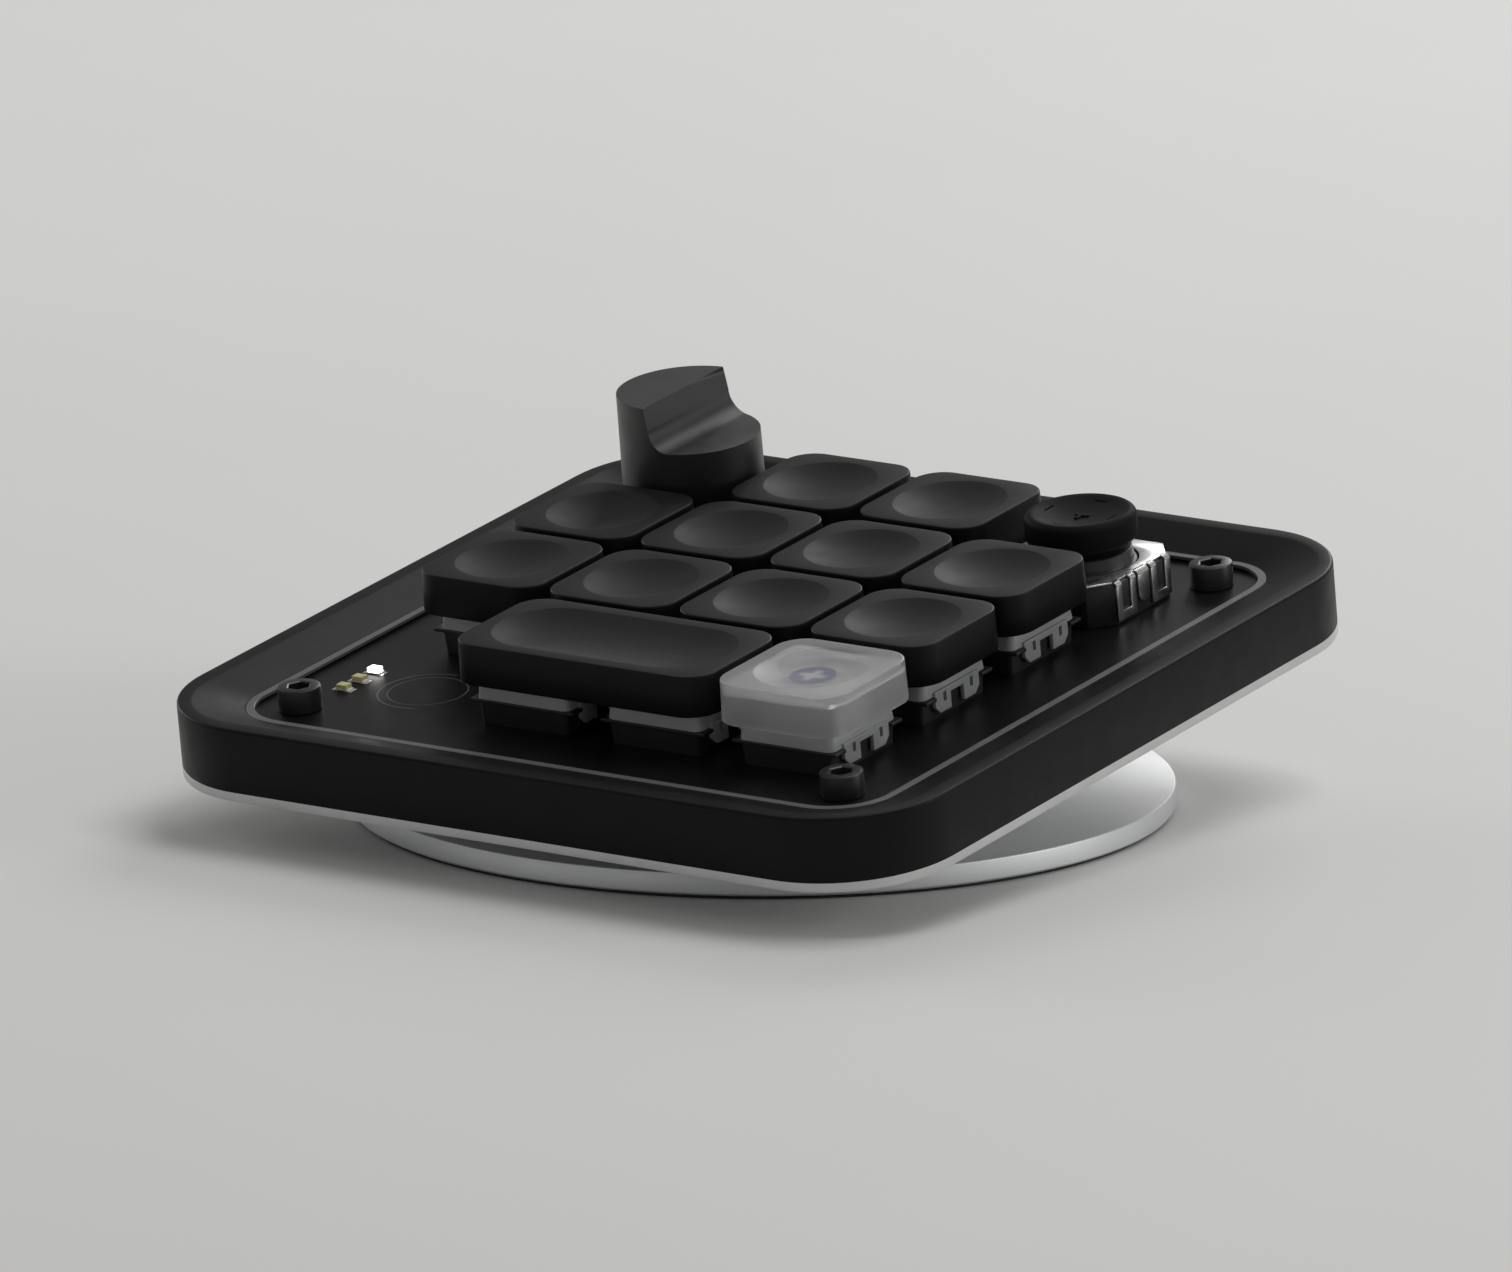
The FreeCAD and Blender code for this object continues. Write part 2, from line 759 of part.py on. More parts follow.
def make_rear_socket():
    """Makes the socket under the board's rear edge: a flat tube with a tongue inside."""
    body = new_body("usb_socket")
    outline = new_sketch(body, "port_outline", "XZ_Plane", y=port_height_centre,
                         z=-port_front)
    draw_rounded(outline, sheet.port_width, sheet.port_height,
                 sheet.port_height / 2 - sheet.fit_gap)
    pad(body, outline, sheet.port_depth, "port_pad")
    inside = new_sketch(body, "port_inside", "XZ_Plane", y=port_height_centre,
                        z=-port_front)
    wide, tall = sheet.port_width - sheet.port_wall * 2, sheet.port_height - sheet.port_wall * 2
    draw_rounded(inside, wide, tall, tall / 2 - sheet.fit_gap)
    pocket(body, inside, sheet.port_depth - sheet.port_floor, "port_inside_cut",
           forward=True)
    tongue = new_sketch(body, "port_tongue", "XZ_Plane", y=port_height_centre,
                        z=-port_front + sheet.port_depth)
    draw_rectangle(tongue, sheet.port_tongue_width, sheet.port_tongue_height)
    pad(body, tongue, sheet.port_tongue_length + sheet.port_floor, "tongue_pad",
        backward=True)
    keep(body, "usb_socket", keypad_place())


def make_board_parts():
    """Makes the contact sockets and the processor on the board's underside."""
    body = new_body("hotswap_socket")
    outline = new_sketch(body, "socket_outline")
    right, back = sheet.socket_length / 2, sheet.socket_width / 2
    step = sheet.socket_step
    draw_outline(outline, [(-right, -back), (step / 2, -back), (step / 2, -back + step / 2),
                           (right, -back + step / 2), (right, back), (-step / 2, back),
                           (-step / 2, back - step / 2), (-right, back - step / 2)])
    pad(body, outline, sheet.socket_thick, "socket_pad")
    places = []
    for column, row in switch_spots():
        x, y = key_centre(column, row)
        places.append(keypad_place(x - sheet.socket_step / 2, y + sheet.socket_offset,
                                   board_bottom - sheet.socket_thick))
    repeated("hotswap_sockets", body, places)
    chip = keypad_place(-grid_edge - sheet.chip_width / 2, -grid_edge - sheet.chip_width / 2,
                        board_bottom - sheet.chip_thick)
    keep(box("controller_chip", sheet.chip_width, sheet.chip_width, sheet.chip_thick, chip),
         "controller_chip")


# Switches, drawn with the origin on top of the circuit board, under the key's centre

def make_switch_base():
    """Makes the lower housing: a tub that narrows downward, with side flanges and a post."""
    body = new_body("switch_base")
    tub = new_sketch(body, "tub_outline", z=sheet.base_height)
    draw_rectangle(tub, sheet.base_width, sheet.top_width)
    pad(body, tub, sheet.base_height, "tub_pad", draft=sheet.base_draft, backward=True)
    notch, inner = sheet.flange_notch / 2, sheet.base_width / 2
    right, back = sheet.flange_width / 2, sheet.flange_depth / 2
    flange = new_sketch(body, "flange_outline", z=sheet.base_height - sheet.flange_thick)
    draw_outline(flange, [
        (-right, -back), (right, -back), (right, -notch), (inner, -notch), (inner, notch),
        (right, notch), (right, back), (-right, back), (-right, notch), (-inner, notch),
        (-inner, -notch), (-right, -notch)])
    pad(body, flange, sheet.flange_thick, "flange_pad")
    room = new_sketch(body, "tub_room", z=sheet.base_height)
    draw_rectangle(room, sheet.base_cavity_width, sheet.base_cavity_width)
    pocket(body, room, sheet.base_height - sheet.base_floor, "tub_room_cut")
    guide = new_sketch(body, "spring_guide", z=sheet.base_floor)
    draw_rectangle(guide, sheet.guide_width, sheet.guide_width)
    pad(body, guide, sheet.guide_height, "guide_pad")
    post = new_sketch(body, "post_circle", z=-sheet.post_length)
    draw_faceted(post, sheet.post_radius, POST_FACETS)
    pad(body, post, sheet.post_length, "post_pad")
    return body


def clip_outline(sketch, side):
    """Draws one pair of clip legs: pointed feet either side of a square gap."""
    top, right = sheet.base_height, sheet.clip_width / 2
    foot, gap = top - sheet.clip_drop, sheet.clip_gap_width / 2
    point = sheet.clip_point
    draw_outline(sketch, [
        (-right, top + side), (-right, foot + point), (-right + point, foot),
        (-gap, foot), (-gap, foot + sheet.clip_gap_height), (gap, foot + sheet.clip_gap_height),
        (gap, foot), (right - point, foot), (right, foot + point), (right, top + side)])


def make_switch_top():
    """Makes the upper housing: a low tapered hood with the stem's window and clip legs."""
    body = new_body("switch_top")
    hood = new_sketch(body, "hood_outline", z=sheet.base_height)
    draw_rectangle(hood, sheet.top_width, sheet.top_width)
    pad(body, hood, sheet.top_height, "hood_pad", draft=sheet.top_draft)
    room = new_sketch(body, "hood_room", z=sheet.base_height)
    draw_rectangle(room, sheet.top_cavity_width, sheet.top_cavity_width)
    pocket(body, room, sheet.top_height - sheet.top_roof, "hood_room_cut", forward=True)
    window = new_sketch(body, "stem_window", z=sheet.base_height + sheet.top_height)
    draw_rectangle(window, sheet.top_window_width, sheet.top_window_depth)
    pocket(body, window, sheet.top_height, "stem_window_cut")
    face = sheet.base_width / 2 + sheet.fit_gap
    for name, place in (("right", face), ("left", -face - sheet.clip_thick)):
        legs = new_sketch(body, f"clip_{name}", "YZ_Plane", z=place)
        clip_outline(legs, sheet.flange_thick)
        pad(body, legs, sheet.clip_thick, f"clip_{name}_pad")
    return body


def make_switch_springs(places):
    """Makes the springs as plain sleeves of their outer size."""
    body = new_body("switch_spring")
    rings = new_sketch(body, "spring_rings", z=sheet.base_floor)
    draw_faceted(rings, sheet.spring_radius, POST_FACETS)
    draw_faceted(rings, sheet.spring_inner_radius, POST_FACETS)
    length = stem_bottom + sheet.stem_bore_depth - sheet.base_floor
    pad(body, rings, length, "spring_pad")
    repeated("switch_springs", body, places)


def make_stem():
    """Makes a sliding stem: shouldered block with the spring's bore and the pegs' slots."""
    name = "stem"
    body = new_body(name)
    shoulder = new_sketch(body, f"{name}_shoulder", z=stem_bottom)
    draw_rectangle(shoulder, sheet.stem_shoulder_width, sheet.stem_shoulder_depth)
    pad(body, shoulder, sheet.stem_shoulder_thick, f"{name}_shoulder_pad")
    block = new_sketch(body, f"{name}_block", z=stem_bottom)
    gap = sheet.stem_side_gap * 2
    draw_rectangle(block, sheet.top_window_width - gap, sheet.top_window_depth - gap)
    pad(body, block, stem_top - stem_bottom, f"{name}_block_pad")
    bore = new_sketch(body, f"{name}_bore", z=stem_bottom)
    draw_faceted(bore, sheet.stem_bore_radius, POST_FACETS)
    pocket(body, bore, sheet.stem_bore_depth, f"{name}_bore_cut", forward=True)
    for side in (-1, 1):
        slot = new_sketch(body, f"{name}_slot_{side + 1}", x=sheet.peg_spacing * side / 2,
                          z=stem_top)
        draw_rectangle(slot, sheet.peg_width + sheet.peg_gap * 2,
                       sheet.peg_depth + sheet.peg_gap * 2)
        pocket(body, slot, sheet.peg_length + sheet.peg_gap, f"{name}_slot_cut_{side + 1}")
    return body


def make_keycap(name, columns=1):
    """Makes a dished cap, one or more keys wide, with two pegs for each stem."""
    body = new_body(name)
    extra = sheet.key_pitch * (columns - 1)
    width = sheet.cap_width + extra
    skirt = new_sketch(body, f"{name}_skirt", z=sheet.cap_bottom)
    draw_rounded(skirt, width, sheet.cap_width, sheet.cap_corner)
    block = pad(body, skirt, sheet.cap_height, f"{name}_block")
    top = sheet.cap_bottom + sheet.cap_height
    rim = edges_of(block, level_at(top))
    bevel(body, block, rim, sheet.cap_round, sheet.cap_round, f"{name}_rim")
    floor = new_sketch(body, f"{name}_dish_outline", z=top)
    draw_faceted(floor, sheet.dish_floor_radius, DISH_FACETS,
                 stretch=extra if columns > 1 else None)
    dish = pocket(body, floor, sheet.dish_depth, f"{name}_dish")
    edges = edges_of(dish, level_at(top, sheet.dish_floor_radius + extra / 2))
    bevel(body, dish, edges, sheet.dish_radius - sheet.dish_floor_radius,
          sheet.dish_depth - sheet.bevel_step, f"{name}_dish_slope")

    inside = new_sketch(body, f"{name}_inside", z=sheet.cap_bottom)
    wall = sheet.cap_wall * 2
    draw_rounded(inside, width - wall, sheet.cap_width - wall, sheet.cap_inner_corner,
                 PLAIN_FACETS)
    pocket(body, inside, sheet.cap_cavity, f"{name}_inside_cut", forward=True)
    middles = [sheet.key_pitch * (step - (columns - 1) / 2) for step in range(columns)]
    for index, middle in enumerate(middles):
        for side in (-1, 1):
            peg = new_sketch(body, f"{name}_peg_{index}_{side + 1}",
                             x=middle + sheet.peg_spacing * side / 2,
                             z=cap_roof - sheet.peg_length)
            draw_rectangle(peg, sheet.peg_width, sheet.peg_depth)
            pad(body, peg, sheet.peg_length, f"{name}_peg_pad_{index}_{side + 1}")
    return body


def make_keys():
    """Makes every switch, stem and cap; the front row's wide cap spans two switches."""
    base, hood = make_switch_base(), make_switch_top()
    places = {spot: keypad_place(*key_centre(*spot), board_top) for spot in switch_spots()}
    for row in range(1, ROWS + 1):
        in_row = [place for (_, spot_row), place in places.items() if spot_row == row]
        repeated(f"switch_bases_row_{row}", base, in_row)
        repeated(f"switch_tops_row_{row}", hood, in_row)
    make_switch_springs(list(places.values()))

    stem, cap = make_stem(), make_keycap("keycap")
    wide_spots = ((2, 1), (3, 1))
    for column, row in places:
        if (column, row) in wide_spots:
            continue
        x, y = key_centre(column, row)
        name = f"column_{column}_row_{row}"
        repeated(f"stem_{name}", stem, [places[(column, row)]])
        repeated(f"keycap_{name}", cap, [keypad_place(x, y)])
    repeated("stems_wide", stem, [places[spot] for spot in wide_spots])
    left = key_centre(*wide_spots[0])
    keep(make_keycap("keycap_wide", columns=len(wide_spots)), "keycap_wide",
         keypad_place(left[0] + sheet.key_pitch / 2, left[1]))


# Encoder and knob, drawn with the origin on top of the circuit board

def make_encoder(place):
    """Makes the encoder: housing, bushing, turning rotor and the D-shaped shaft."""
    body = new_body("encoder_body")
    outline = new_sketch(body, "encoder_outline")
    draw_rectangle(outline, sheet.encoder_width, sheet.encoder_width)
    pad(body, outline, sheet.encoder_height, "encoder_pad")
    ceiling = sheet.encoder_height - sheet.encoder_roof
    hollow = new_sketch(body, "encoder_hollow", z=sheet.encoder_floor)
    draw_faceted(hollow, sheet.encoder_cavity_radius, RING_FACETS)
    pocket(body, hollow, ceiling - sheet.encoder_floor, "encoder_hollow_cut", forward=True)
    mouth = new_sketch(body, "encoder_mouth", z=sheet.encoder_height)
    draw_faceted(mouth, sheet.bushing_radius + sheet.fit_gap, RING_FACETS)
    pocket(body, mouth, sheet.encoder_height - sheet.encoder_floor, "encoder_mouth_cut")
    keep(body, "encoder_body", place)

    bushing = new_body("encoder_bushing")
    low, top = ceiling + sheet.fit_gap, sheet.encoder_height + sheet.bushing_height
    sleeve = new_sketch(bushing, "bushing_rings", z=low)
    draw_faceted(sleeve, sheet.bushing_radius, RING_FACETS)
    draw_faceted(sleeve, shaft_bore_radius, RING_FACETS)
    pad(bushing, sleeve, top - low, "bushing_pad")
    keep(bushing, "encoder_bushing", place)

    rotor = new_body("encoder_rotor")
    disc = new_sketch(rotor, "rotor_rings", z=sheet.encoder_floor + sheet.rotor_gap)
    draw_faceted(disc, sheet.rotor_radius, RING_FACETS)
    draw_faceted(disc, shaft_bore_radius, RING_FACETS)
    deep = ceiling - sheet.encoder_floor - sheet.rotor_gap * 2
    pad(rotor, disc, deep, "rotor_pad")
    keep(rotor, "encoder_rotor", place)

    shaft = new_body("encoder_shaft")
    rod = new_sketch(shaft, "shaft_circle", z=sheet.shaft_bottom)
    draw_circle(rod, sheet.shaft_radius)
    pad(shaft, rod, sheet.shaft_top - sheet.shaft_bottom, "shaft_pad")
    flat = new_sketch(shaft, "shaft_flat", z=sheet.shaft_top)
    edge, far = sheet.shaft_radius - sheet.shaft_flat, sheet.shaft_radius + sheet.cut_overrun
    draw_outline(flat, [(edge, -far), (far, -far), (far, far), (edge, far)])
    pocket(shaft, flat, sheet.shaft_flat_length, "shaft_flat_cut")
    keep(shaft, "encoder_shaft", place)


def make_knob(place):
    """Makes the knob: a round body scooped on one side to leave a half-round grip."""
    body = new_body("knob")
    foot = new_sketch(body, "knob_circle", z=sheet.knob_bottom)
    draw_faceted(foot, sheet.knob_radius, KNOB_FACETS)
    pad(body, foot, sheet.knob_height, "knob_pad")
    top = sheet.knob_bottom + sheet.knob_height
    shelf, far = top - sheet.knob_shelf, sheet.knob_radius + sheet.cut_overrun
    scoop = new_sketch(body, "scoop_profile", "XZ_Plane")
    curve = arc_points(sheet.knob_shelf - sheet.knob_ridge, top, sheet.knob_shelf,
                       FULL_TURN / 2, QUARTER_TURN, SCOOP_FACETS)
    draw_outline(scoop, [*curve, (far, shelf), (far, top + sheet.cut_overrun),
                         (-sheet.knob_ridge, top + sheet.cut_overrun)])
    pocket(body, scoop, far * 2, "scoop_cut", both_ways=True)
    room = new_sketch(body, "knob_room", z=sheet.knob_bottom)
    draw_faceted(room, sheet.knob_cavity_radius, RING_FACETS)
    pocket(body, room, sheet.knob_cavity_depth, "knob_room_cut", forward=True)
    seat = sheet.knob_bottom + sheet.knob_cavity_depth
    bore = new_sketch(body, "knob_bore", z=seat)
    draw_faceted(bore, shaft_bore_radius, RING_FACETS)
    pocket(body, bore, sheet.knob_bore_depth, "knob_bore_cut", forward=True)
    flat = new_sketch(body, "bore_flat", z=seat)
    edge = sheet.shaft_radius - sheet.shaft_flat + sheet.fit_gap
    far = sheet.shaft_radius + sheet.cut_overrun
    draw_outline(flat, [(edge, -far), (far, -far), (far, far), (edge, far)])
    pad(body, flat, sheet.knob_bore_depth, "bore_flat_pad")
    keep(body, "knob", place)


# Joystick, drawn with the origin on top of the circuit board

def make_stick_housing(place):
    """Makes the plastic base with its round well, and the metal can with folded tabs."""
    body = new_body("joystick_base")
    outline = new_sketch(body, "stick_base_outline")
    draw_chamfered(outline, sheet.stick_base_width, sheet.stick_base_width,
                   sheet.stick_base_chamfer)
    pad(body, outline, sheet.stick_base_height, "stick_base_pad")
    well = new_sketch(body, "stick_well", z=sheet.stick_base_height)
    draw_faceted(well, sheet.stick_opening_radius, THUMB_FACETS)
    pocket(body, well, sheet.stick_base_height - sheet.stick_floor, "stick_well_cut")
    keep(body, "joystick_base", place)

    can = new_body("joystick_can")
    plate = new_sketch(can, "can_outline", z=sheet.stick_base_height)
    draw_chamfered(plate, sheet.can_width, sheet.can_width, sheet.can_chamfer)
    draw_faceted(plate, sheet.stick_opening_radius, THUMB_FACETS)
    pad(can, plate, sheet.can_thick, "can_pad")
    top = sheet.stick_base_height + sheet.can_thick
    foot = top - sheet.tab_drop
    step = sheet.tab_width / 2 + sheet.tab_gap + sheet.tongue_width / 2
    face = sheet.can_width / 2 - sheet.tab_thick
    half, rim = sheet.tab_width / 2, sheet.tab_rim
    for side, wall in (("right", face), ("left", -sheet.can_width / 2)):
        for name, shift in (("front", -step), ("rear", step)):
            tab = new_sketch(can, f"tab_{side}_{name}", "YZ_Plane", x=shift, z=wall)
            inner = half - rim
            draw_outline(tab, [(-half, foot), (half, foot), (half, top), (inner, top),
                               (inner, foot + rim), (-inner, foot + rim), (-inner, top),
                               (-half, top)])
            pad(can, tab, sheet.tab_thick, f"tab_{side}_{name}_pad")
        tongue = new_sketch(can, f"tongue_{side}", "YZ_Plane", z=wall)
        wide = sheet.tongue_width / 2
        low = top - sheet.tongue_drop
        foot_points = arc_points(0, low + wide, wide, FULL_TURN / 2, FULL_TURN / 2,
                                 CORNER_FACETS)
        draw_outline(tongue, [*foot_points, (wide, top), (-wide, top)])
        pad(can, tongue, sheet.tab_thick, f"tongue_{side}_pad")
    keep(can, "joystick_can", place)


def make_stick_pivots(place):
    """Makes the pressing cradle, the gimbal ring in it, and the stick in the ring."""
    pivot = sheet.pivot_height
    cradle = new_body("joystick_cradle")
    disc = new_sketch(cradle, "cradle_disc", z=sheet.cradle_bottom)
    draw_faceted(disc, sheet.cradle_radius, RING_FACETS)
    pad(cradle, disc, sheet.cradle_thick, "cradle_pad")
    wide, reach = sheet.ear_width / 2, (sheet.ear_inner + sheet.ear_outer) / 2
    for name, shift in (("right", reach), ("left", -reach)):
        ear = new_sketch(cradle, f"ear_{name}", x=shift, z=sheet.cradle_bottom)
        draw_rectangle(ear, sheet.ear_outer - sheet.ear_inner, sheet.ear_width)
        pad(cradle, ear, sheet.ear_top - sheet.cradle_bottom, f"ear_{name}_pad")
    bore = new_sketch(cradle, "ear_bore", "YZ_Plane")
    draw_faceted(bore, sheet.pin_radius + sheet.pin_gap, PIN_FACETS, 0, pivot)
    pocket(cradle, bore, sheet.ear_outer * 2 + sheet.cut_overrun, "ear_bore_cut",
           both_ways=True)
    keep(cradle, "joystick_cradle", place)

    ring = new_body("joystick_gimbal")
    rings = new_sketch(ring, "gimbal_rings", z=pivot - sheet.ring_height / 2)
    draw_faceted(rings, sheet.ring_radius, RING_FACETS)
    draw_faceted(rings, sheet.ring_inner_radius, RING_FACETS)
    pad(ring, rings, sheet.ring_height, "gimbal_pad")
    bore = new_sketch(ring, "gimbal_bore", "XZ_Plane")
    draw_faceted(bore, sheet.pin_radius + sheet.pin_gap, PIN_FACETS, 0, pivot)
    pocket(ring, bore, sheet.ring_radius * 2 + sheet.cut_overrun, "gimbal_bore_cut",
           both_ways=True)
    middle = (sheet.ring_radius + sheet.ring_inner_radius) / 2
    for name, start in (("right", middle), ("left", -sheet.ear_outer)):
        pin = new_sketch(ring, f"gimbal_pin_{name}", "YZ_Plane", z=start)
        draw_circle(pin, sheet.pin_radius, 0, pivot)
        pad(ring, pin, sheet.ear_outer - middle, f"gimbal_pin_{name}_pad")
    keep(ring, "joystick_gimbal", place)

    stick = new_body("joystick_stick")
    ball, rod = sheet.hub_radius, sheet.stick_radius
    low, high = pivot - sheet.hub_below, pivot + sheet.hub_above
    outline = new_sketch(stick, "hub_outline", z=low)
    draw_faceted(outline, ball, SCREW_FACETS)
    hub = pad(stick, outline, high - low, "stick_hub")
    hub = bevel(stick, hub, edges_of(hub, level_at(low)), sheet.hub_taper, sheet.hub_taper,
                "hub_taper")
    bevel(stick, hub, edges_of(hub, level_at(high)), sheet.hub_shoulder, sheet.hub_shoulder,
          "hub_shoulder")
    rod_circle = new_sketch(stick, "stick_circle", z=pivot)
    draw_faceted(rod_circle, rod, SCREW_FACETS)
    pad(stick, rod_circle, sheet.stick_length, "stick_rod")
    pins = new_sketch(stick, "stick_pins", "XZ_Plane")
    draw_circle(pins, sheet.pin_radius, 0, pivot)
    pad(stick, pins, sheet.ring_radius * 2, "stick_pin_pad", both_ways=True)
    keep(stick, "joystick_stick", place)


def make_thumb_cap(place):
    """Makes the dust dome that tilts in the can's opening, and the dished thumb cap."""
    pivot = sheet.pivot_height
    rod = sheet.stick_radius + sheet.fit_gap
    dome = new_body("joystick_dome")
    rim, crown = pivot + sheet.dome_rim, pivot + sheet.dome_top
    outline = new_sketch(dome, "dome_outline", z=rim)
    draw_faceted(outline, sheet.dome_radius, THUMB_FACETS)
    shell = pad(dome, outline, crown - rim, "dome_shell")
    edges = edges_of(shell, level_at(crown))
    bevel(dome, shell, edges, sheet.dome_taper, crown - rim - sheet.bevel_step, "dome_slope")
    for name, radius, height in (
            ("hollow", sheet.dome_hollow_radius, sheet.dome_hollow_height),
            ("crown", sheet.dome_crown_radius, sheet.dome_top - sheet.dome_roof)):
        room = new_sketch(dome, f"dome_{name}", z=rim)
        draw_faceted(room, radius, THUMB_FACETS)
        pocket(dome, room, height - sheet.dome_rim, f"dome_{name}_cut", forward=True)
    hole = new_sketch(dome, "dome_hole", z=crown)
    draw_faceted(hole, rod, SCREW_FACETS)
    pocket(dome, hole, sheet.dome_top, "dome_hole_cut")
    keep(dome, "joystick_dome", place)

    cap = new_body("joystick_cap")
    under, top = pivot + sheet.neck_top, pivot + sheet.thumb_top
    outline = new_sketch(cap, "thumb_outline", z=under)
    draw_faceted(outline, sheet.thumb_radius, THUMB_FACETS)
    block = pad(cap, outline, top - under, "thumb_block")
    block = bevel(cap, block, edges_of(block, level_at(under)), sheet.thumb_round,
                  sheet.thumb_round, "thumb_under")
    bevel(cap, block, edges_of(block, level_at(top)), sheet.thumb_rim, sheet.thumb_rim,
          "thumb_edge")
    neck = new_sketch(cap, "thumb_neck", z=crown)
    draw_faceted(neck, sheet.thumb_neck_radius, THUMB_FACETS)
    pad(cap, neck, under - crown + sheet.thumb_round, "thumb_neck_pad")
    floor = new_sketch(cap, "thumb_dish_outline", z=top)
    draw_faceted(floor, sheet.thumb_floor_radius, THUMB_FACETS)
    dish = pocket(cap, floor, sheet.thumb_dish, "thumb_dish")
    edges = edges_of(dish, level_at(top, sheet.thumb_floor_radius))
    bevel(cap, dish, edges, sheet.thumb_dish_radius - sheet.thumb_floor_radius,
          sheet.thumb_dish - sheet.bevel_step, "thumb_dish_slope")
    bore = new_sketch(cap, "thumb_bore", z=crown)
    draw_faceted(bore, rod, SCREW_FACETS)
    pocket(cap, bore, sheet.stick_length + sheet.fit_gap - sheet.dome_top, "thumb_bore_cut",
           forward=True)
    keep(cap, "joystick_cap", place)


def check_model():
    """Stops if any object failed or any sub-part is missing or not a valid solid."""
    DOC.recompute()
    for item in DOC.Objects:
        if "Invalid" in item.State or "Error" in item.State:
            raise RuntimeError(f"{item.Label} failed: {item.State}")
    for piece in finished:
        if piece.Shape.isNull() or not piece.Shape.isValid() or not piece.Shape.Solids:
            raise RuntimeError(f"{piece.Label} is not a valid solid")


def write_parts():
    """Writes one file for each sub-part."""
    os.makedirs("parts", exist_ok=True)
    for piece in finished:
        piece.Shape.exportStep(os.path.join("parts", f"{piece.Label}.step"))


def main():
    make_stand_base()
    make_foot_pad()
    make_bottom_plate()
    make_frame()
    make_circuit_board()
    make_case_screws()
    make_status_lights()
    make_rear_socket()
    make_board_parts()
    make_keys()
    knob_spot = keypad_place(-grid_edge, grid_edge, board_top)
    make_encoder(knob_spot)
    make_knob(knob_spot)
    stick_spot = keypad_place(grid_edge, grid_edge, board_top)
    make_stick_housing(stick_spot)
    make_stick_pivots(stick_spot)
    make_thumb_cap(stick_spot)
    check_model()
    write_parts()
    print(f"{len(finished)} sub-parts written")


main()
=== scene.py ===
"""Dresses the macro keypad: caps, knob, thumb stick, case, lights and stand, and their finishes.

Shapes are drawn in millimetres, most of them in the keypad's own frame: its origin is the
middle of the bottom plate's underside, and it is tilted on the stand.
"""
import json
import math

import bmesh
import bpy
from mathutils import Matrix, Vector


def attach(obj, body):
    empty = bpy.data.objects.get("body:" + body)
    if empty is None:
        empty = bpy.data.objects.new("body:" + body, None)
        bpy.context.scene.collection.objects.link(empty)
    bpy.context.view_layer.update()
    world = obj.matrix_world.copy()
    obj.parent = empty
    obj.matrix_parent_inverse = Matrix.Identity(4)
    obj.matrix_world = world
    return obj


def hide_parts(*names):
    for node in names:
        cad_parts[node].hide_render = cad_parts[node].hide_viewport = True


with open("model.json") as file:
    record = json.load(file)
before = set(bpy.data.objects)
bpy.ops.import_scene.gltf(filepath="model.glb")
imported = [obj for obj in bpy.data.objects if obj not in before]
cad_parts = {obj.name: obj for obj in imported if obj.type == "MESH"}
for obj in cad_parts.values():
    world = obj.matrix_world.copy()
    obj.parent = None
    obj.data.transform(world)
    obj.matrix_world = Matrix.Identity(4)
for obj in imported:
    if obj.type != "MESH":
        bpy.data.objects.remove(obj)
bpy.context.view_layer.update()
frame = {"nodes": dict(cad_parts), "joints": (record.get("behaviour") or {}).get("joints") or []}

bl_info = {
    "name": "Macro keypad",
    "version": (1, 0, 0),
    "blender": (4, 5, 0),
    "location": "View3D > Sidebar > Keypad",
    "description": "Builds the visible pieces and finishes of a macro keypad on a swivel stand",
    "category": "Object",
}

MM = 0.001
COLUMNS = 4
ROWS = 4
WIDE_SPOTS = ((2, 1), (3, 1))
FROSTED_SPOT = (4, 1)
BARE_CORNERS = ((1, 1), (1, 4), (4, 4))
JOINTS = {joint["name"]: joint for joint in frame["joints"]}


# Heights and sizes in millimetres that several pieces share: over the plate's underside
PLATE_TOP = 1.2
LIP_TOP = 7.45
BOARD_FACE = 91.0
BOARD_FACE_CORNER = 7.0
CAP_CAVITY = 3.2
FROSTED_CAVITY = 3.75

# The same over the circuit board: switches, thumb stick and its can
SWITCH_SEAM = 3.1
STICK_PIVOT = 3.6
STICK_ROD = 1.55
THUMB_TOP = STICK_PIVOT + 8.2
THUMB_DISH = 0.9
CAN_TOP = 5.5
CAN_SIDE = 8.6
CAN_EDGE = 8.0
SHEET = 0.3
FOLD = 0.6

# These set a shape drawn in x and y upright: one faces the user, the other faces right
UPRIGHT = Matrix.Rotation(math.radians(90.0), 4, "X")
SIDEWAYS = Matrix(((0, 0, 1, 0), (1, 0, 0, 0), (0, 1, 0, 0), (0, 0, 0, 1)))

# Camera in metres, and each lamp's name, spot, side, watts and tint
CAMERA_SPOT = (1.15942, -1.65766, 0.47244)
CAMERA_AIM = (-0.55966, 0.79947, -0.21787)
LAMPS = (("top_light", (0.35, 0.35, 1.25), 0.8, 6.8, (1.0, 0.99, 0.98)),
         ("rear_light", (-0.3, 1.15, 0.62), 0.55, 4.2, (1.0, 0.99, 0.98)),
         ("left_light", (-1.15, 0.25, 0.35), 0.5, 2.0, (0.98, 0.99, 1.0)),
         ("right_light", (1.1, 0.55, 0.4), 0.5, 2.8, (1.0, 1.0, 1.0)))


# Sizes and colours that a user would change

def length(name, description, default):
    """Makes a property for a length in millimetres."""
    return bpy.props.FloatProperty(
        name=name, description=description, default=default, min=0.0, precision=3)


def colour(name, description, default):
    """Makes a property for a colour."""
    return bpy.props.FloatVectorProperty(
        name=name, description=description, subtype="COLOR", size=3, min=0.0, max=1.0,
        default=default)


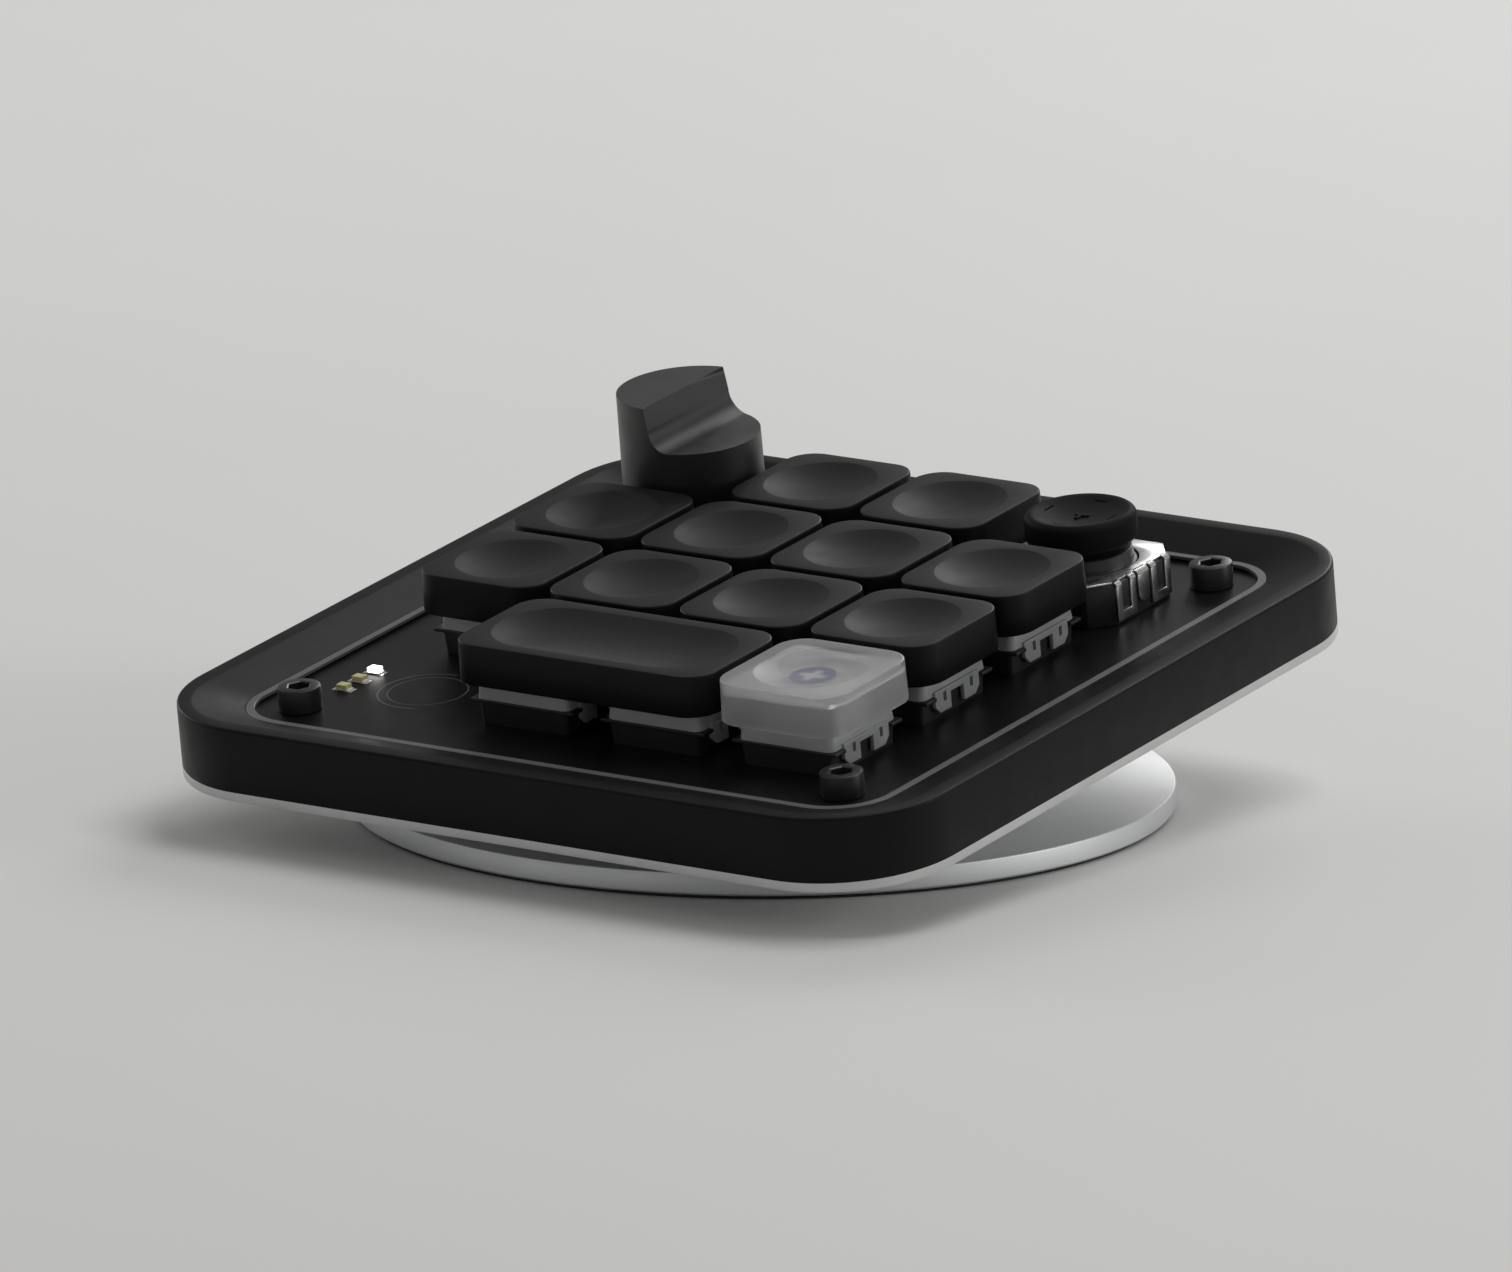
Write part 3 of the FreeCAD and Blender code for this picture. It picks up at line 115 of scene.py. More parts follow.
class KeypadSizes(bpy.types.PropertyGroup):
    """Sizes of the visible pieces, in millimetres."""

    key_pitch: length("Key pitch", "Distance between the centres of two keys", 19.05)
    board_top: length("Board top", "Height of the circuit board's face over the plate", 6.85)
    cap_width: length("Cap width", "Width of a key cap at its foot", 18.05)
    cap_bottom: length("Cap foot", "Height of a key cap's foot over the plate", 12.4)
    cap_height: length("Cap height", "Height of a key cap", 5.1)
    cap_corner: length("Cap corner", "Radius of a key cap's corners", 3.8)
    cap_edge: length("Cap edge", "Radius along a key cap's top edge", 0.22)
    dish_radius: length("Dish radius", "Radius of the round dish in a cap", 6.95)
    dish_depth: length("Dish depth", "Depth of the dish in a cap", 0.95)
    case_width: length("Case width", "Width of the square case", 108.8)
    case_corner: length("Case corner", "Radius of the case's corners", 15.2)
    knob_radius: length("Knob radius", "Radius of the knob", 8.75)
    knob_height: length("Knob height", "Height of the knob", 13.1)
    thumb_radius: length("Thumb cap radius", "Radius of the thumb stick's cap", 6.85)
    stand_radius: length("Stand radius", "Radius of the stand's disc", 49.8)


class KeypadColours(bpy.types.PropertyGroup):
    """Colours of the finishes."""

    case: colour("Case", "Black of the surround", (0.0055, 0.0055, 0.0058))
    cap: colour("Caps", "Black of the key caps", (0.0052, 0.005, 0.005))
    frosted: colour("Frosted cap", "Body of the frosted cap", (0.81, 0.81, 0.815))
    # Light grey of the band over the lip: partly the lip's own satin grey, partly a painted
    # highlight for the light its flat face catches.
    lip: colour("Lip", "Dark satin grey of the lip round the board", (0.13, 0.13, 0.13))
    board: colour("Board", "Black of the circuit board", (0.006, 0.006, 0.0062))
    plate: colour("Bottom plate", "Grey of the plate under the case", (0.62, 0.62, 0.62))
    stand: colour("Stand", "Satin aluminium of the stand", (0.76, 0.77, 0.78))
    hood: colour("Switch hood", "Milky grey of the switches' hoods", (0.54, 0.55, 0.55))
    knob: colour("Knob", "Black of the knob", (0.006, 0.0058, 0.006))
    thumb: colour("Thumb cap", "Rubber of the thumb stick", (0.009, 0.009, 0.0094))
    can: colour("Joystick can", "Bright sheet metal of the joystick", (0.66, 0.66, 0.655))
    amber: colour("Unlit lights", "Amber of the two unlit lights", (0.82, 0.78, 0.40))
    lit: colour("Lit light", "White of the lit light", (1.0, 0.98, 0.94))
    sign: colour("Cap sign", "Blue of the plus under the frosted cap", (0.06, 0.09, 0.30))
    floor: colour("Floor", "Pale floor under the keypad", (0.74, 0.74, 0.73))


def sizes():
    return bpy.context.scene.keypad_sizes


def colours():
    return bpy.context.scene.keypad_colours


# Places in the keypad

def keypad_place(x=0.0, y=0.0, z=0.0):
    """Gives the matrix from millimetres about a spot of the tilted keypad to the world."""
    swivel = JOINTS["keypad_swivel"]
    up = Vector(swivel["axis"]).normalized()
    right = Vector((1.0, 0.0, 0.0))
    tilt = Matrix((right, up.cross(right), up)).transposed().to_4x4()
    return (Matrix.Translation(swivel["pos_m"]) @ tilt @ Matrix.Scale(MM, 4)
            @ Matrix.Translation((x, y, z)))


def desk_place():
    return Matrix.Scale(MM, 4)


def key_centre(column, row):
    """Gives x and y of a key; column 1 is left and row 1 is nearest the user."""
    pitch = sizes().key_pitch
    return pitch * (column - (COLUMNS + 1) / 2), pitch * (row - (ROWS + 1) / 2)


def cap_spots():
    """Lists the keys that have a cap of their own."""
    return [(column, row) for row in range(1, ROWS + 1) for column in range(1, COLUMNS + 1)
            if (column, row) not in BARE_CORNERS + WIDE_SPOTS]


def switch_columns(row):
    return [column for column in range(1, COLUMNS + 1) if (column, row) not in BARE_CORNERS]


# Mesh work

def quarter(steps):
    """Lists the angles of a quarter turn."""
    return [math.pi / 2 * step / steps for step in range(steps + 1)]


def ring(width, depth, corner, height, steps=10):
    """Lists the points of a level rounded rectangle, anticlockwise seen from above."""
    points = []
    right, back = width / 2 - corner, depth / 2 - corner
    for turn, (side, rear) in enumerate(((1, 1), (-1, 1), (-1, -1), (1, -1))):
        for step in range(steps + 1):
            angle = math.pi / 2 * (turn + step / steps)
            points.append((side * right + corner * math.cos(angle),
                           rear * back + corner * math.sin(angle), height))
    return points


def circle(radius, height, steps=10):
    return ring(radius * 2, radius * 2, radius, height, steps)


def skin(rings, closed=False, merge=True):
    """Joins a stack of rings by faces, and closes it: end to start, or with flat ends."""
    shape = bmesh.new()
    rows = [[shape.verts.new(point) for point in points] for points in rings]
    pairs = list(zip(rows, rows[1:]))
    if closed:
        pairs.append((rows[-1], rows[0]))
    count = len(rows[0])
    for low, high in pairs:
        for index in range(count):
            after = (index + 1) % count
            shape.faces.new((low[index], low[after], high[after], high[index]))
    if not closed:
        shape.faces.new(rows[0][::-1])
        shape.faces.new(rows[-1])
    if merge:
        bmesh.ops.remove_doubles(shape, verts=shape.verts, dist=1e-5)
    bmesh.ops.recalc_face_normals(shape, faces=shape.faces)
    return shape


def turned(profile, steps=16):
    """Turns a profile of radius and height about the upright axis."""
    return skin([circle(max(radius, 1e-4), height, steps) for radius, height in profile])


def drum(radius, low, high, steps=16):
    """Makes a plain round solid."""
    return turned([(0.0, low), (radius, low), (radius, high), (0.0, high)], steps)


def slab(outline, low, high):
    """Makes a straight solid from a flat outline of x and y."""
    return skin([[(x, y, height) for x, y in outline] for height in (low, high)], merge=False)


def block(x, y, z, width, depth, height, edge=0.0, steps=2):
    """Makes a block about x, y from z upward, with soft edges if asked."""
    right, back = width / 2, depth / 2
    shape = slab([(x - right, y - back), (x + right, y - back), (x + right, y + back),
                  (x - right, y + back)], z, z + height)
    return softened(shape, edge, steps)


def softened(shape, edge, steps=2):
    """Rounds the sharp edges of a shape."""
    turn = math.radians(30.0)
    if edge > 0.0:
        sharp = [line for line in shape.edges
                 if line.is_manifold and line.calc_face_angle() > turn]
        bmesh.ops.bevel(shape, geom=sharp, offset=edge, segments=steps, profile=0.5,
                        affect="EDGES", clamp_overlap=True)
    return shape


def open_foot(shape):
    """Takes away the flat end at the foot of a skin."""
    ends = [face for face in shape.faces if len(face.verts) > 4]
    lowest = min(ends, key=lambda face: face.calc_center_median().z)
    bmesh.ops.delete(shape, geom=[lowest], context="FACES_ONLY")
    return shape


def dish_sink(reach, radius, depth):
    """Gives how deep a ball-shaped dish is at a distance from its middle."""
    ball = (radius ** 2 + depth ** 2) / (2 * depth)
    return math.sqrt(ball ** 2 - reach ** 2) - (ball - depth)


def moved(shape, matrix):
    bmesh.ops.transform(shape, matrix=matrix, verts=shape.verts)
    return shape


def together(*shapes):
    """Puts several shapes in one."""
    whole = bmesh.new()
    mesh = bpy.data.meshes.new("together")
    for shape in shapes:
        shape.to_mesh(mesh)
        whole.from_mesh(mesh)
        shape.free()
    bpy.data.meshes.remove(mesh)
    return whole


def smooth(mesh, angle=32.0):
    mesh.shade_smooth()
    mesh.set_sharp_from_angle(angle=math.radians(angle))


def loose_piece(name, shape, place=None, angle=32.0):
    """Makes an object from a shape in millimetres and frees the shape."""
    if place is not None:
        moved(shape, place)
    mesh = bpy.data.meshes.new(name)
    shape.to_mesh(mesh)
    shape.free()
    smooth(mesh, angle)
    piece = bpy.data.objects.new(name, mesh)
    bpy.context.scene.collection.objects.link(piece)
    return piece


def shape_of(piece):
    """Takes the shape back out of an object and removes the object."""
    shape = bmesh.new()
    shape.from_mesh(piece.data)
    bpy.data.objects.remove(piece)
    return shape


def set_modifiers(piece, angle=32.0):
    """Makes a plain mesh of a piece with its modifiers."""
    graph = bpy.context.evaluated_depsgraph_get()
    graph.update()
    mesh = bpy.data.meshes.new_from_object(piece.evaluated_get(graph))
    piece.modifiers.clear()
    old = piece.data
    piece.data = mesh
    mesh.name = piece.name
    bpy.data.meshes.remove(old)
    smooth(mesh, angle)


def cut(piece, *tools):
    """Cuts other objects out of a piece and removes them."""
    for tool in tools:
        carve = piece.modifiers.new("carve", "BOOLEAN")
        carve.operation = "DIFFERENCE"
        carve.solver = "EXACT"
        carve.object = tool
    set_modifiers(piece)
    for tool in tools:
        mesh = tool.data
        bpy.data.objects.remove(tool)
        bpy.data.meshes.remove(mesh)


def put(piece, place):
    """Moves a finished mesh to its place."""
    piece.data.transform(place)
    piece.data.update()


# Finishes

class Finish:
    """Builds one procedural material on the piece's Object coordinates."""

    def __init__(self, name, base, roughness, metallic=0.0, specular=0.5):
        self.material = bpy.data.materials.new(name)
        self.material.use_nodes = True
        self.tree = self.material.node_tree
        self.shader = self.tree.nodes["Principled BSDF"]
        self.base, self.roughness = tuple(base), roughness
        self.set(self.shader, {"Base Color": (*self.base, 1.0), "Roughness": roughness,
                               "Metallic": metallic, "Specular IOR Level": specular})
        self.spot = self.tree.nodes.new("ShaderNodeTexCoord").outputs["Object"]
        self.link = self.tree.links.new

    def set(self, node, values):
        """Sets sockets of a node to constants."""
        for name, value in values.items():
            node.inputs[name].default_value = value

    def noise(self, size_mm, detail):
        """Adds a noise whose features are about this size."""
        node = self.tree.nodes.new("ShaderNodeTexNoise")
        self.set(node, {"Scale": 1.0 / (size_mm * MM), "Detail": detail})
        self.link(self.spot, node.inputs["Vector"])
        return node.outputs["Fac"]

    def spread(self, value, low, high):
        """Maps the middle part of a noise to a range."""
        node = self.tree.nodes.new("ShaderNodeMapRange")
        self.set(node, {"From Min": 0.3, "From Max": 0.7, "To Min": low, "To Max": high})
        self.link(value, node.inputs["Value"])
        return node.outputs["Result"]

    def mottle(self, size_mm, amount):
        """Lets the colour wander lighter and darker."""
        mix = self.tree.nodes.new("ShaderNodeMix")
        mix.data_type = "RGBA"
        self.set(mix, {"A": (*[part * (1 - amount) for part in self.base], 1.0),
                       "B": (*[min(part * (1 + amount), 1.0) for part in self.base], 1.0)})
        self.link(self.spread(self.noise(size_mm, 2.0), 0.0, 1.0), mix.inputs["Factor"])
        self.link(mix.outputs["Result"], self.shader.inputs["Base Color"])
        return self

    def handled(self, size_mm, amount):
        """Lets the gloss wander, as on a piece that is touched."""
        gloss = self.spread(self.noise(size_mm, 4.0), self.roughness - amount,
                            self.roughness + amount)
        self.link(gloss, self.shader.inputs["Roughness"])
        return self

    def grain(self, size_mm, depth_mm):
        """Adds a moulded or blasted grain as bump."""
        bump = self.tree.nodes.new("ShaderNodeBump")
        self.set(bump, {"Distance": depth_mm * MM, "Strength": 1.0})
        self.link(self.noise(size_mm, 2.0), bump.inputs["Height"])
        self.link(bump.outputs["Normal"], self.shader.inputs["Normal"])
        return self


FINISHES = {}


def mix_finishes():
    """Makes every finish of the keypad."""
    paint = colours()

    def add(name, base, roughness, grain, metallic=0.0, specular=0.5, mottle=0.12,
            handled=0.05, patch=6.0, more=()):
        made = Finish(name, base, roughness, metallic, specular)
        made.mottle(patch, mottle).handled(patch / 2, handled).grain(*grain)
        made.set(made.shader, dict(more))
        FINISHES[name] = made.material

    add("case_black", paint.case, 0.42, (0.14, 0.003), specular=0.13)
    add("cap_black", paint.cap, 0.48, (0.12, 0.003), specular=0.2)
    add("knob_black", paint.knob, 0.42, (0.11, 0.003), specular=0.7)
    add("thumb_rubber", paint.thumb, 0.6, (0.16, 0.005), specular=0.06)
    add("board_black", paint.board, 0.36, (0.2, 0.002), specular=0.15, handled=0.04)
    add("plate_grey", paint.plate, 0.42, (0.12, 0.003), metallic=0.35, mottle=0.05)
    add("stand_aluminium", paint.stand, 0.5, (0.10, 0.003), metallic=1.0, mottle=0.03,
        handled=0.04, patch=14.0)
    add("foot_rubber", (0.03, 0.03, 0.031), 0.8, (0.2, 0.01))
    add("switch_black", (0.022, 0.022, 0.023), 0.42, (0.16, 0.004))
    add("switch_hood", paint.hood, 0.36, (0.2, 0.003), mottle=0.08,
        more={"Transmission Weight": 0.25})
    add("stem_white", (0.62, 0.63, 0.63), 0.4, (0.2, 0.003), mottle=0.04)
    add("screw_black", (0.05, 0.05, 0.052), 0.38, (0.10, 0.003), metallic=0.7, mottle=0.2)
    add("brass", (0.72, 0.55, 0.28), 0.32, (0.12, 0.002), metallic=1.0)
    add("silver_pad", (0.80, 0.78, 0.72), 0.3, (0.2, 0.002), metallic=1.0, mottle=0.08)
    add("bright_can", paint.can, 0.27, (0.35, 0.0003), metallic=1.0, mottle=0.03)
    add("steel", (0.6, 0.6, 0.6), 0.33, (0.12, 0.002), metallic=1.0, mottle=0.06)
    add("nickel", (0.66, 0.63, 0.58), 0.2, (0.3, 0.001), metallic=1.0, mottle=0.05)
    add("socket_black", (0.02, 0.02, 0.02), 0.55, (0.15, 0.004))
    add("white_acetal", (0.72, 0.72, 0.70), 0.38, (0.2, 0.002), mottle=0.03)
    add("ring_print", (0.075, 0.075, 0.078), 0.5, (0.1, 0.002), mottle=0.1)
    add("cap_sign", paint.sign, 0.5, (0.2, 0.002), mottle=0.06)
    # The lip band's light grey is partly satin finish and partly a painted highlight where the
    # flat lip catches light.
    add("lip_satin_and_painted_highlight", paint.lip, 0.34, (0.12, 0.0004), mottle=0.04)
    add("light_amber", paint.amber, 0.25, (0.3, 0.002), mottle=0.1,
        more={"Transmission Weight": 0.35})
    add("light_lit", paint.lit, 0.3, (0.3, 0.002), mottle=0.0,
        more={"Emission Color": (*paint.lit, 1.0), "Emission Strength": 5.0})
    add("cap_frosted", paint.frosted, 0.34, (0.18, 0.003), mottle=0.03,
        more={"Transmission Weight": 0.8, "IOR": 1.46})


# Pieces: how they are repeated, painted and hung on their bodies

def copies_tree():
    """Builds the tree that sets copies of a piece in rows over a width and a depth."""
    tree = bpy.data.node_groups.new("set_in_rows", "GeometryNodeTree")
    for name, kind in (("Geometry", "Geometry"), ("Across", "Int"), ("Deep", "Int"),
                       ("Width", "Float"), ("Depth", "Float"), ("Finish", "Material")):
        tree.interface.new_socket(name, in_out="INPUT", socket_type=f"NodeSocket{kind}")
    tree.interface.new_socket("Geometry", in_out="OUTPUT", socket_type="NodeSocketGeometry")
    given, made, grid, copies, real, paint = [tree.nodes.new(kind) for kind in (
        "NodeGroupInput", "NodeGroupOutput", "GeometryNodeMeshGrid",
        "GeometryNodeInstanceOnPoints", "GeometryNodeRealizeInstances",
        "GeometryNodeSetMaterial")]
    for start, output, end, entry in (
            (given, "Width", grid, "Size X"), (given, "Depth", grid, "Size Y"),
            (given, "Across", grid, "Vertices X"), (given, "Deep", grid, "Vertices Y"),
            (grid, "Mesh", copies, "Points"), (given, "Geometry", copies, "Instance"),
            (copies, "Instances", real, "Geometry"), (real, "Geometry", paint, "Geometry"),
            (given, "Finish", paint, "Material"), (paint, "Geometry", made, "Geometry")):
        tree.links.new(start.outputs[output], end.inputs[entry])
    return tree


def set_in_rows(piece, across, deep, width, depth, look):
    """Repeats a piece, drawn in millimetres about its own origin, in rows across and deep."""
    tree = bpy.data.node_groups.get("set_in_rows") or copies_tree()
    rows = piece.modifiers.new("rows", "NODES")
    rows.node_group = tree
    given = {item.name: item.identifier for item in tree.interface.items_tree
             if item.in_out == "INPUT"}
    for name, value in (("Across", across), ("Deep", deep), ("Width", width),
                        ("Depth", depth), ("Finish", FINISHES[look])):
        rows[given[name]] = value
    set_modifiers(piece)


def hang(piece, look, body, replaces=()):
    """Gives a finished piece its finish, the body that it rides on and what it replaces."""
    piece.data.materials.clear()
    piece.data.materials.append(FINISHES[look])
    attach(piece, body)
    if replaces:
        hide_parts(*replaces)


def dress(name, shape, place, look, body, replaces=(), angle=32.0):
    """Makes a piece from a shape in millimetres and hangs it in one go."""
    hang(loose_piece(name, shape, place, angle), look, body, replaces)


# Stand and case

def dressed_stand(size):
    """Turns the disc with its trumpet neck."""
    radius, foot, top, throat = size.stand_radius, 0.5, 3.2, 9.7
    flare, neck, steps, foot_edge = 16.0, 15.0, 28, 0.25
    top_edge = ((0.0, 0.25), (0.05, 0.1), (0.13, 0.03), (0.28, 0.0))
    rise = throat - top
    reach = neck + math.sqrt(2 * rise * flare - rise ** 2)
    sweep = math.acos((flare - rise) / flare)
    profile = [(0.0, foot), (radius - foot_edge, foot), (radius, foot + foot_edge)]
    profile += [(radius - inset, top - depth) for inset, depth in top_edge]
    for step in range(steps + 1):
        angle = sweep * step / steps
        profile.append((reach - flare * math.sin(angle), top + flare * (1 - math.cos(angle))))
    profile.append((0.0, throat))
    return turned(profile, steps=48)


def stand_head():
    """Makes the tilted head: a short drum with a round pocket for the magnet."""
    radius, high, low, edge = 14.1, 0.7, -6.0, 0.2
    pocket, depth, lead = 9.6, 3.1, 0.15
    return turned([(0.0, low), (radius, low), (radius, high - edge), (radius - edge, high),
                   (pocket + lead, high), (pocket, high - lead), (pocket, high - depth),
                   (0.0, high - depth)], steps=32)


class KeypadStand(bpy.types.Operator):
    """Make the aluminium stand"""

    bl_idname = "keypad.stand"
    bl_label = "Stand"

    def execute(self, context):
        disc = moved(dressed_stand(sizes()), desk_place())
        head = moved(stand_head(), keypad_place())
        dress("stand_dressed", together(disc, head), None, "stand_aluminium", "stand",
              ["stand_base"], 25.0)
        return {"FINISHED"}


def plate_shape(size):
    """Makes the bottom plate with its soft edge, the swivel recess below and boss above."""
    width, corner, edge, burr = size.case_width, size.case_corner, 0.22, 0.03
    recess, depth, boss, roof, middle = 14.4, 1.3, 17.0, 2.1, 0.001
    steps = 16

    def outer(inset, height):
        return ring(width - inset * 2, width - inset * 2, corner - inset, height, steps)

    return skin([circle(middle, depth, steps), circle(recess, depth, steps),
                 circle(recess, 0.0, steps), outer(edge, 0.0), outer(edge * 0.3, edge * 0.3),
                 outer(0.0, edge), outer(0.0, PLATE_TOP - burr), outer(burr, PLATE_TOP),
                 circle(boss, PLATE_TOP, steps), circle(boss, roof, steps),
                 circle(middle, roof, steps)])


def case_shape(size):
    """Makes the black surround: wall, narrow rim, slope and thin lip over the board.

    The edges are rounded by steps that give what is added to the side, what is added to the
    corner's radius, and the height.
    """
    width, corner, rim, bend = size.case_width, size.case_corner, 9.2, 0.38
    slope_top, slope_top_corner, slope_foot, slope_foot_corner = 104.0, 11.5, 93.0, 8.0
    room, room_corner, seat, foot_inset = 101.4, 11.5, 6.85, 0.05
    rim_edge = ((0.5, 0.25, 0.0), (0.14, 0.07, -0.03), (-0.3, -0.12, -0.09))
    foot_edge = ((0.5, 0.25, 0.09), (0.0, 0.0, 0.0))
    lip_edge = ((0.35, 0.17, 0.0), (0.06, 0.03, -0.05), (0.0, 0.0, -0.2))

    def square(side, radius, height):
        return ring(side, side, radius, height, 16)

    def rounded(side, radius, height, steps):
        return [square(side + wider, radius + rounder, height + higher)
                for wider, rounder, higher in steps]

    rings = [square(width - foot_inset * 2, corner - foot_inset, PLATE_TOP),
             square(width, corner, PLATE_TOP + 0.08)]
    for angle in quarter(6):
        inset = bend * (1 - math.cos(angle))
        rings.append(square(width - inset * 2, corner - inset,
                            rim - bend + bend * math.sin(angle)))
    rings += rounded(slope_top, slope_top_corner, rim, rim_edge)
    rings += rounded(slope_foot, slope_foot_corner, LIP_TOP, foot_edge)
    rings += rounded(BOARD_FACE, BOARD_FACE_CORNER, LIP_TOP, lip_edge)
    rings += [square(BOARD_FACE, BOARD_FACE_CORNER, seat), square(room, room_corner, seat),
              square(room, room_corner, PLATE_TOP)]
    return skin(rings, closed=True)


def lip_shape():
    """Makes the flat band that runs along the lip over the board; its light grey is partly a
    satin finish and partly a painted highlight for the light the flat lip catches.
    """
    wide, narrow, high, edge, skirt, tuck = 92.9, 90.9, LIP_TOP + 0.05, 0.05, 0.4, 0.2
    points = ((wide, high - edge * 2), (wide, high - edge), (wide - edge * 2, high),
              (narrow + edge * 2, high), (narrow, high - edge), (narrow, high - skirt),
              (narrow + tuck, high - skirt))
    return skin([ring(side, side, BOARD_FACE_CORNER + (side - BOARD_FACE) / 2, height, 16)
                 for side, height in points], closed=True)


def port_cutter():
    """Makes the stadium that opens the case's rear wall for the socket."""
    width, tall, corner, middle, wall = 9.54, 3.86, 1.88, 3.62, 56.0
    shape = skin([ring(width, tall, corner, depth, 8) for depth in (-2.0, 8.0)])
    return moved(shape, Matrix.Translation((0.0, wall, middle)) @ UPRIGHT)


class KeypadCase(bpy.types.Operator):
    """Make the bottom plate and the black surround with a lip band whose light grey is partly
    satin finish and partly a painted highlight
    """

    bl_idname = "keypad.case"
    bl_label = "Case"

    def execute(self, context):
        size, place = sizes(), keypad_place()
        dress("plate_dressed", plate_shape(size), place, "plate_grey", "keypad",
              ["bottom_plate"])
        case = loose_piece("surround", case_shape(size), place)
        cut(case, loose_piece("port_cutter", port_cutter(), place))
        hang(case, "case_black", "keypad", ["frame"])
        # This band's light grey is partly satin finish and partly a painted highlight for the
        # light the flat lip catches.
        dress("case_lip", lip_shape(), place, "lip_satin_and_painted_highlight", "keypad")
        return {"FINISHED"}


# On the board

def print_ring(radius, width, start, sweep, thick=0.02, count=64):
    """Makes a thin flat arc of print on the board."""
    corners = ((-width / 2, 0.0), (-width / 2, thick), (width / 2, thick), (width / 2, 0.0))
    angles = [math.radians(start + sweep * step / count) for step in range(count + 1)]
    return skin([[((radius + shift) * math.cos(angle), (radius + shift) * math.sin(angle), z)
                  for shift, z in corners] for angle in angles], merge=False)


class KeypadBoard(bpy.types.Operator):
    """Print the touch spot's two rings on the circuit board"""

    bl_idname = "keypad.board"
    bl_label = "Circuit board"

    def execute(self, context):
        outer, outer_line, inner, inner_line = 6.1, 0.22, 4.9, 0.16
        rings = together(print_ring(outer, outer_line, 90.0, 200.0),
                         print_ring(inner, inner_line, 0.0, 360.0))
        place = keypad_place(*key_centre(1, 1), sizes().board_top)
        dress("touch_rings", rings, place, "ring_print", "keypad")
        return {"FINISHED"}


def screw_head():
    """Makes a socket-head screw: plain drum, chamfered top, hex socket and shank."""
    radius, tall, flat, steps = 2.65, 3.0, 1.25, 96
    outside = ((0.12, 0.0), (0.0, 0.12), (0.0, tall - 0.25), (0.07, tall - 0.09), (0.25, tall))
    socket = ((-0.16, tall), (0.0, tall - 0.12), (0.0, tall - 1.6))
    shank = ((0.0, -5.0), (1.2, -5.0), (1.5, -4.7), (1.5, 0.05), (0.0, 0.05))
    angles = [math.tau * step / steps for step in range(steps)]
    rings = [[((radius - inset) * math.cos(angle), (radius - inset) * math.sin(angle), height)
              for angle in angles] for inset, height in outside]
    for inset, height in socket:
        points = []
        for angle in angles:
            reach = (flat - inset) / math.cos(angle % (math.pi / 3) - math.pi / 6)
            points.append((reach * math.cos(angle), reach * math.sin(angle), height))
        rings.append(points)
    return together(skin(rings), turned(shank, 6))


class KeypadScrews(bpy.types.Operator):
    """Make the four socket-head screws"""

    bl_idname = "keypad.screws"
    bl_label = "Screws"

    def execute(self, context):
        apart = 79.0
        head = loose_piece("screws_dressed", screw_head())
        set_in_rows(head, 2, 2, apart, apart, "screw_black")
        put(head, keypad_place(z=sizes().board_top))
        hang(head, "screw_black", "keypad", ["case_screws"])
        return {"FINISHED"}


class KeypadLights(bpy.types.Operator):
    """Make the three status lights with their feet and pads"""

    bl_idname = "keypad.lights"
    bl_label = "Status lights"

    def execute(self, context):
        x, y, pitch = -38.6, -28.7, 3.2
        place = keypad_place(z=sizes().board_top)
        for name, steps, look, slot, stands in (
                ("lights_amber", (-1, 0), "light_amber", "light_amber", ["status_leds_amber"]),
                ("light_lit", (1,), "light_lit", "light_white", ["status_led_lit"])):
            lenses = [block(x, y + pitch * step, 0.18, 1.5, 1.2, 0.6, 0.06) for step in steps]
            dress(f"{name}_lens", together(*lenses), place, look, "keypad", stands)
        spots = [y + pitch * step for step in (-1, 0, 1)]
        feet = [block(x, spot, 0.03, 1.98, 1.2, 0.2, 0.03, 1) for spot in spots]
        pads = [block(x + side, spot, 0.0, 0.85, 1.3, 0.06, 0.02, 1)
                for spot in spots for side in (-1.0, 1.0)]
        dress("light_feet", together(*feet), place, "white_acetal", "keypad")
        dress("light_pads", together(*pads), place, "silver_pad", "keypad")
        return {"FINISHED"}


# Switches and caps

def switch_base_shape():
    """Makes the lower housing: a cup that narrows downward, with flanges cut at the clips."""
    width, depth, room, floor, edge, soft = 13.0, 13.6, 11.9, 0.5, 0.15, 0.02
    lean = math.tan(math.radians(4.0)) * SWITCH_SEAM

    def level(inset, corner, height):
        return ring(width - inset, depth - inset, corner, height, 4)

    cup = skin([level(lean * 2, 0.5, 0.0), level(soft, 0.6, SWITCH_SEAM - 0.05),
                level(edge, 0.55, SWITCH_SEAM), ring(room, room, 0.5, SWITCH_SEAM, 4),
                ring(room, room, 0.5, floor, 4)])
    right, back, inner, notch, thick, hole = 7.5, 6.95, 6.5, 4.8, 0.45, 6.0
    rim = slab([(-right, -back), (right, -back), (right, -notch), (inner, -notch),
                (inner, notch), (right, notch), (right, back), (-right, back),
                (-right, notch), (-inner, notch), (-inner, -notch), (-right, -notch)],
               SWITCH_SEAM - thick, SWITCH_SEAM)
    opening = slab([(-hole, -hole), (hole, -hole), (hole, hole), (-hole, hole)], 0.0, 5.0)
    flange = loose_piece("flange", softened(rim, 0.1, 2))
    cut(flange, loose_piece("flange_room", opening))
    post = turned([(0.0, -2.4), (1.4, -2.4), (1.7, -2.1), (1.7, 0.1), (0.0, 0.1)], 5)
    return together(cup, shape_of(flange), post)


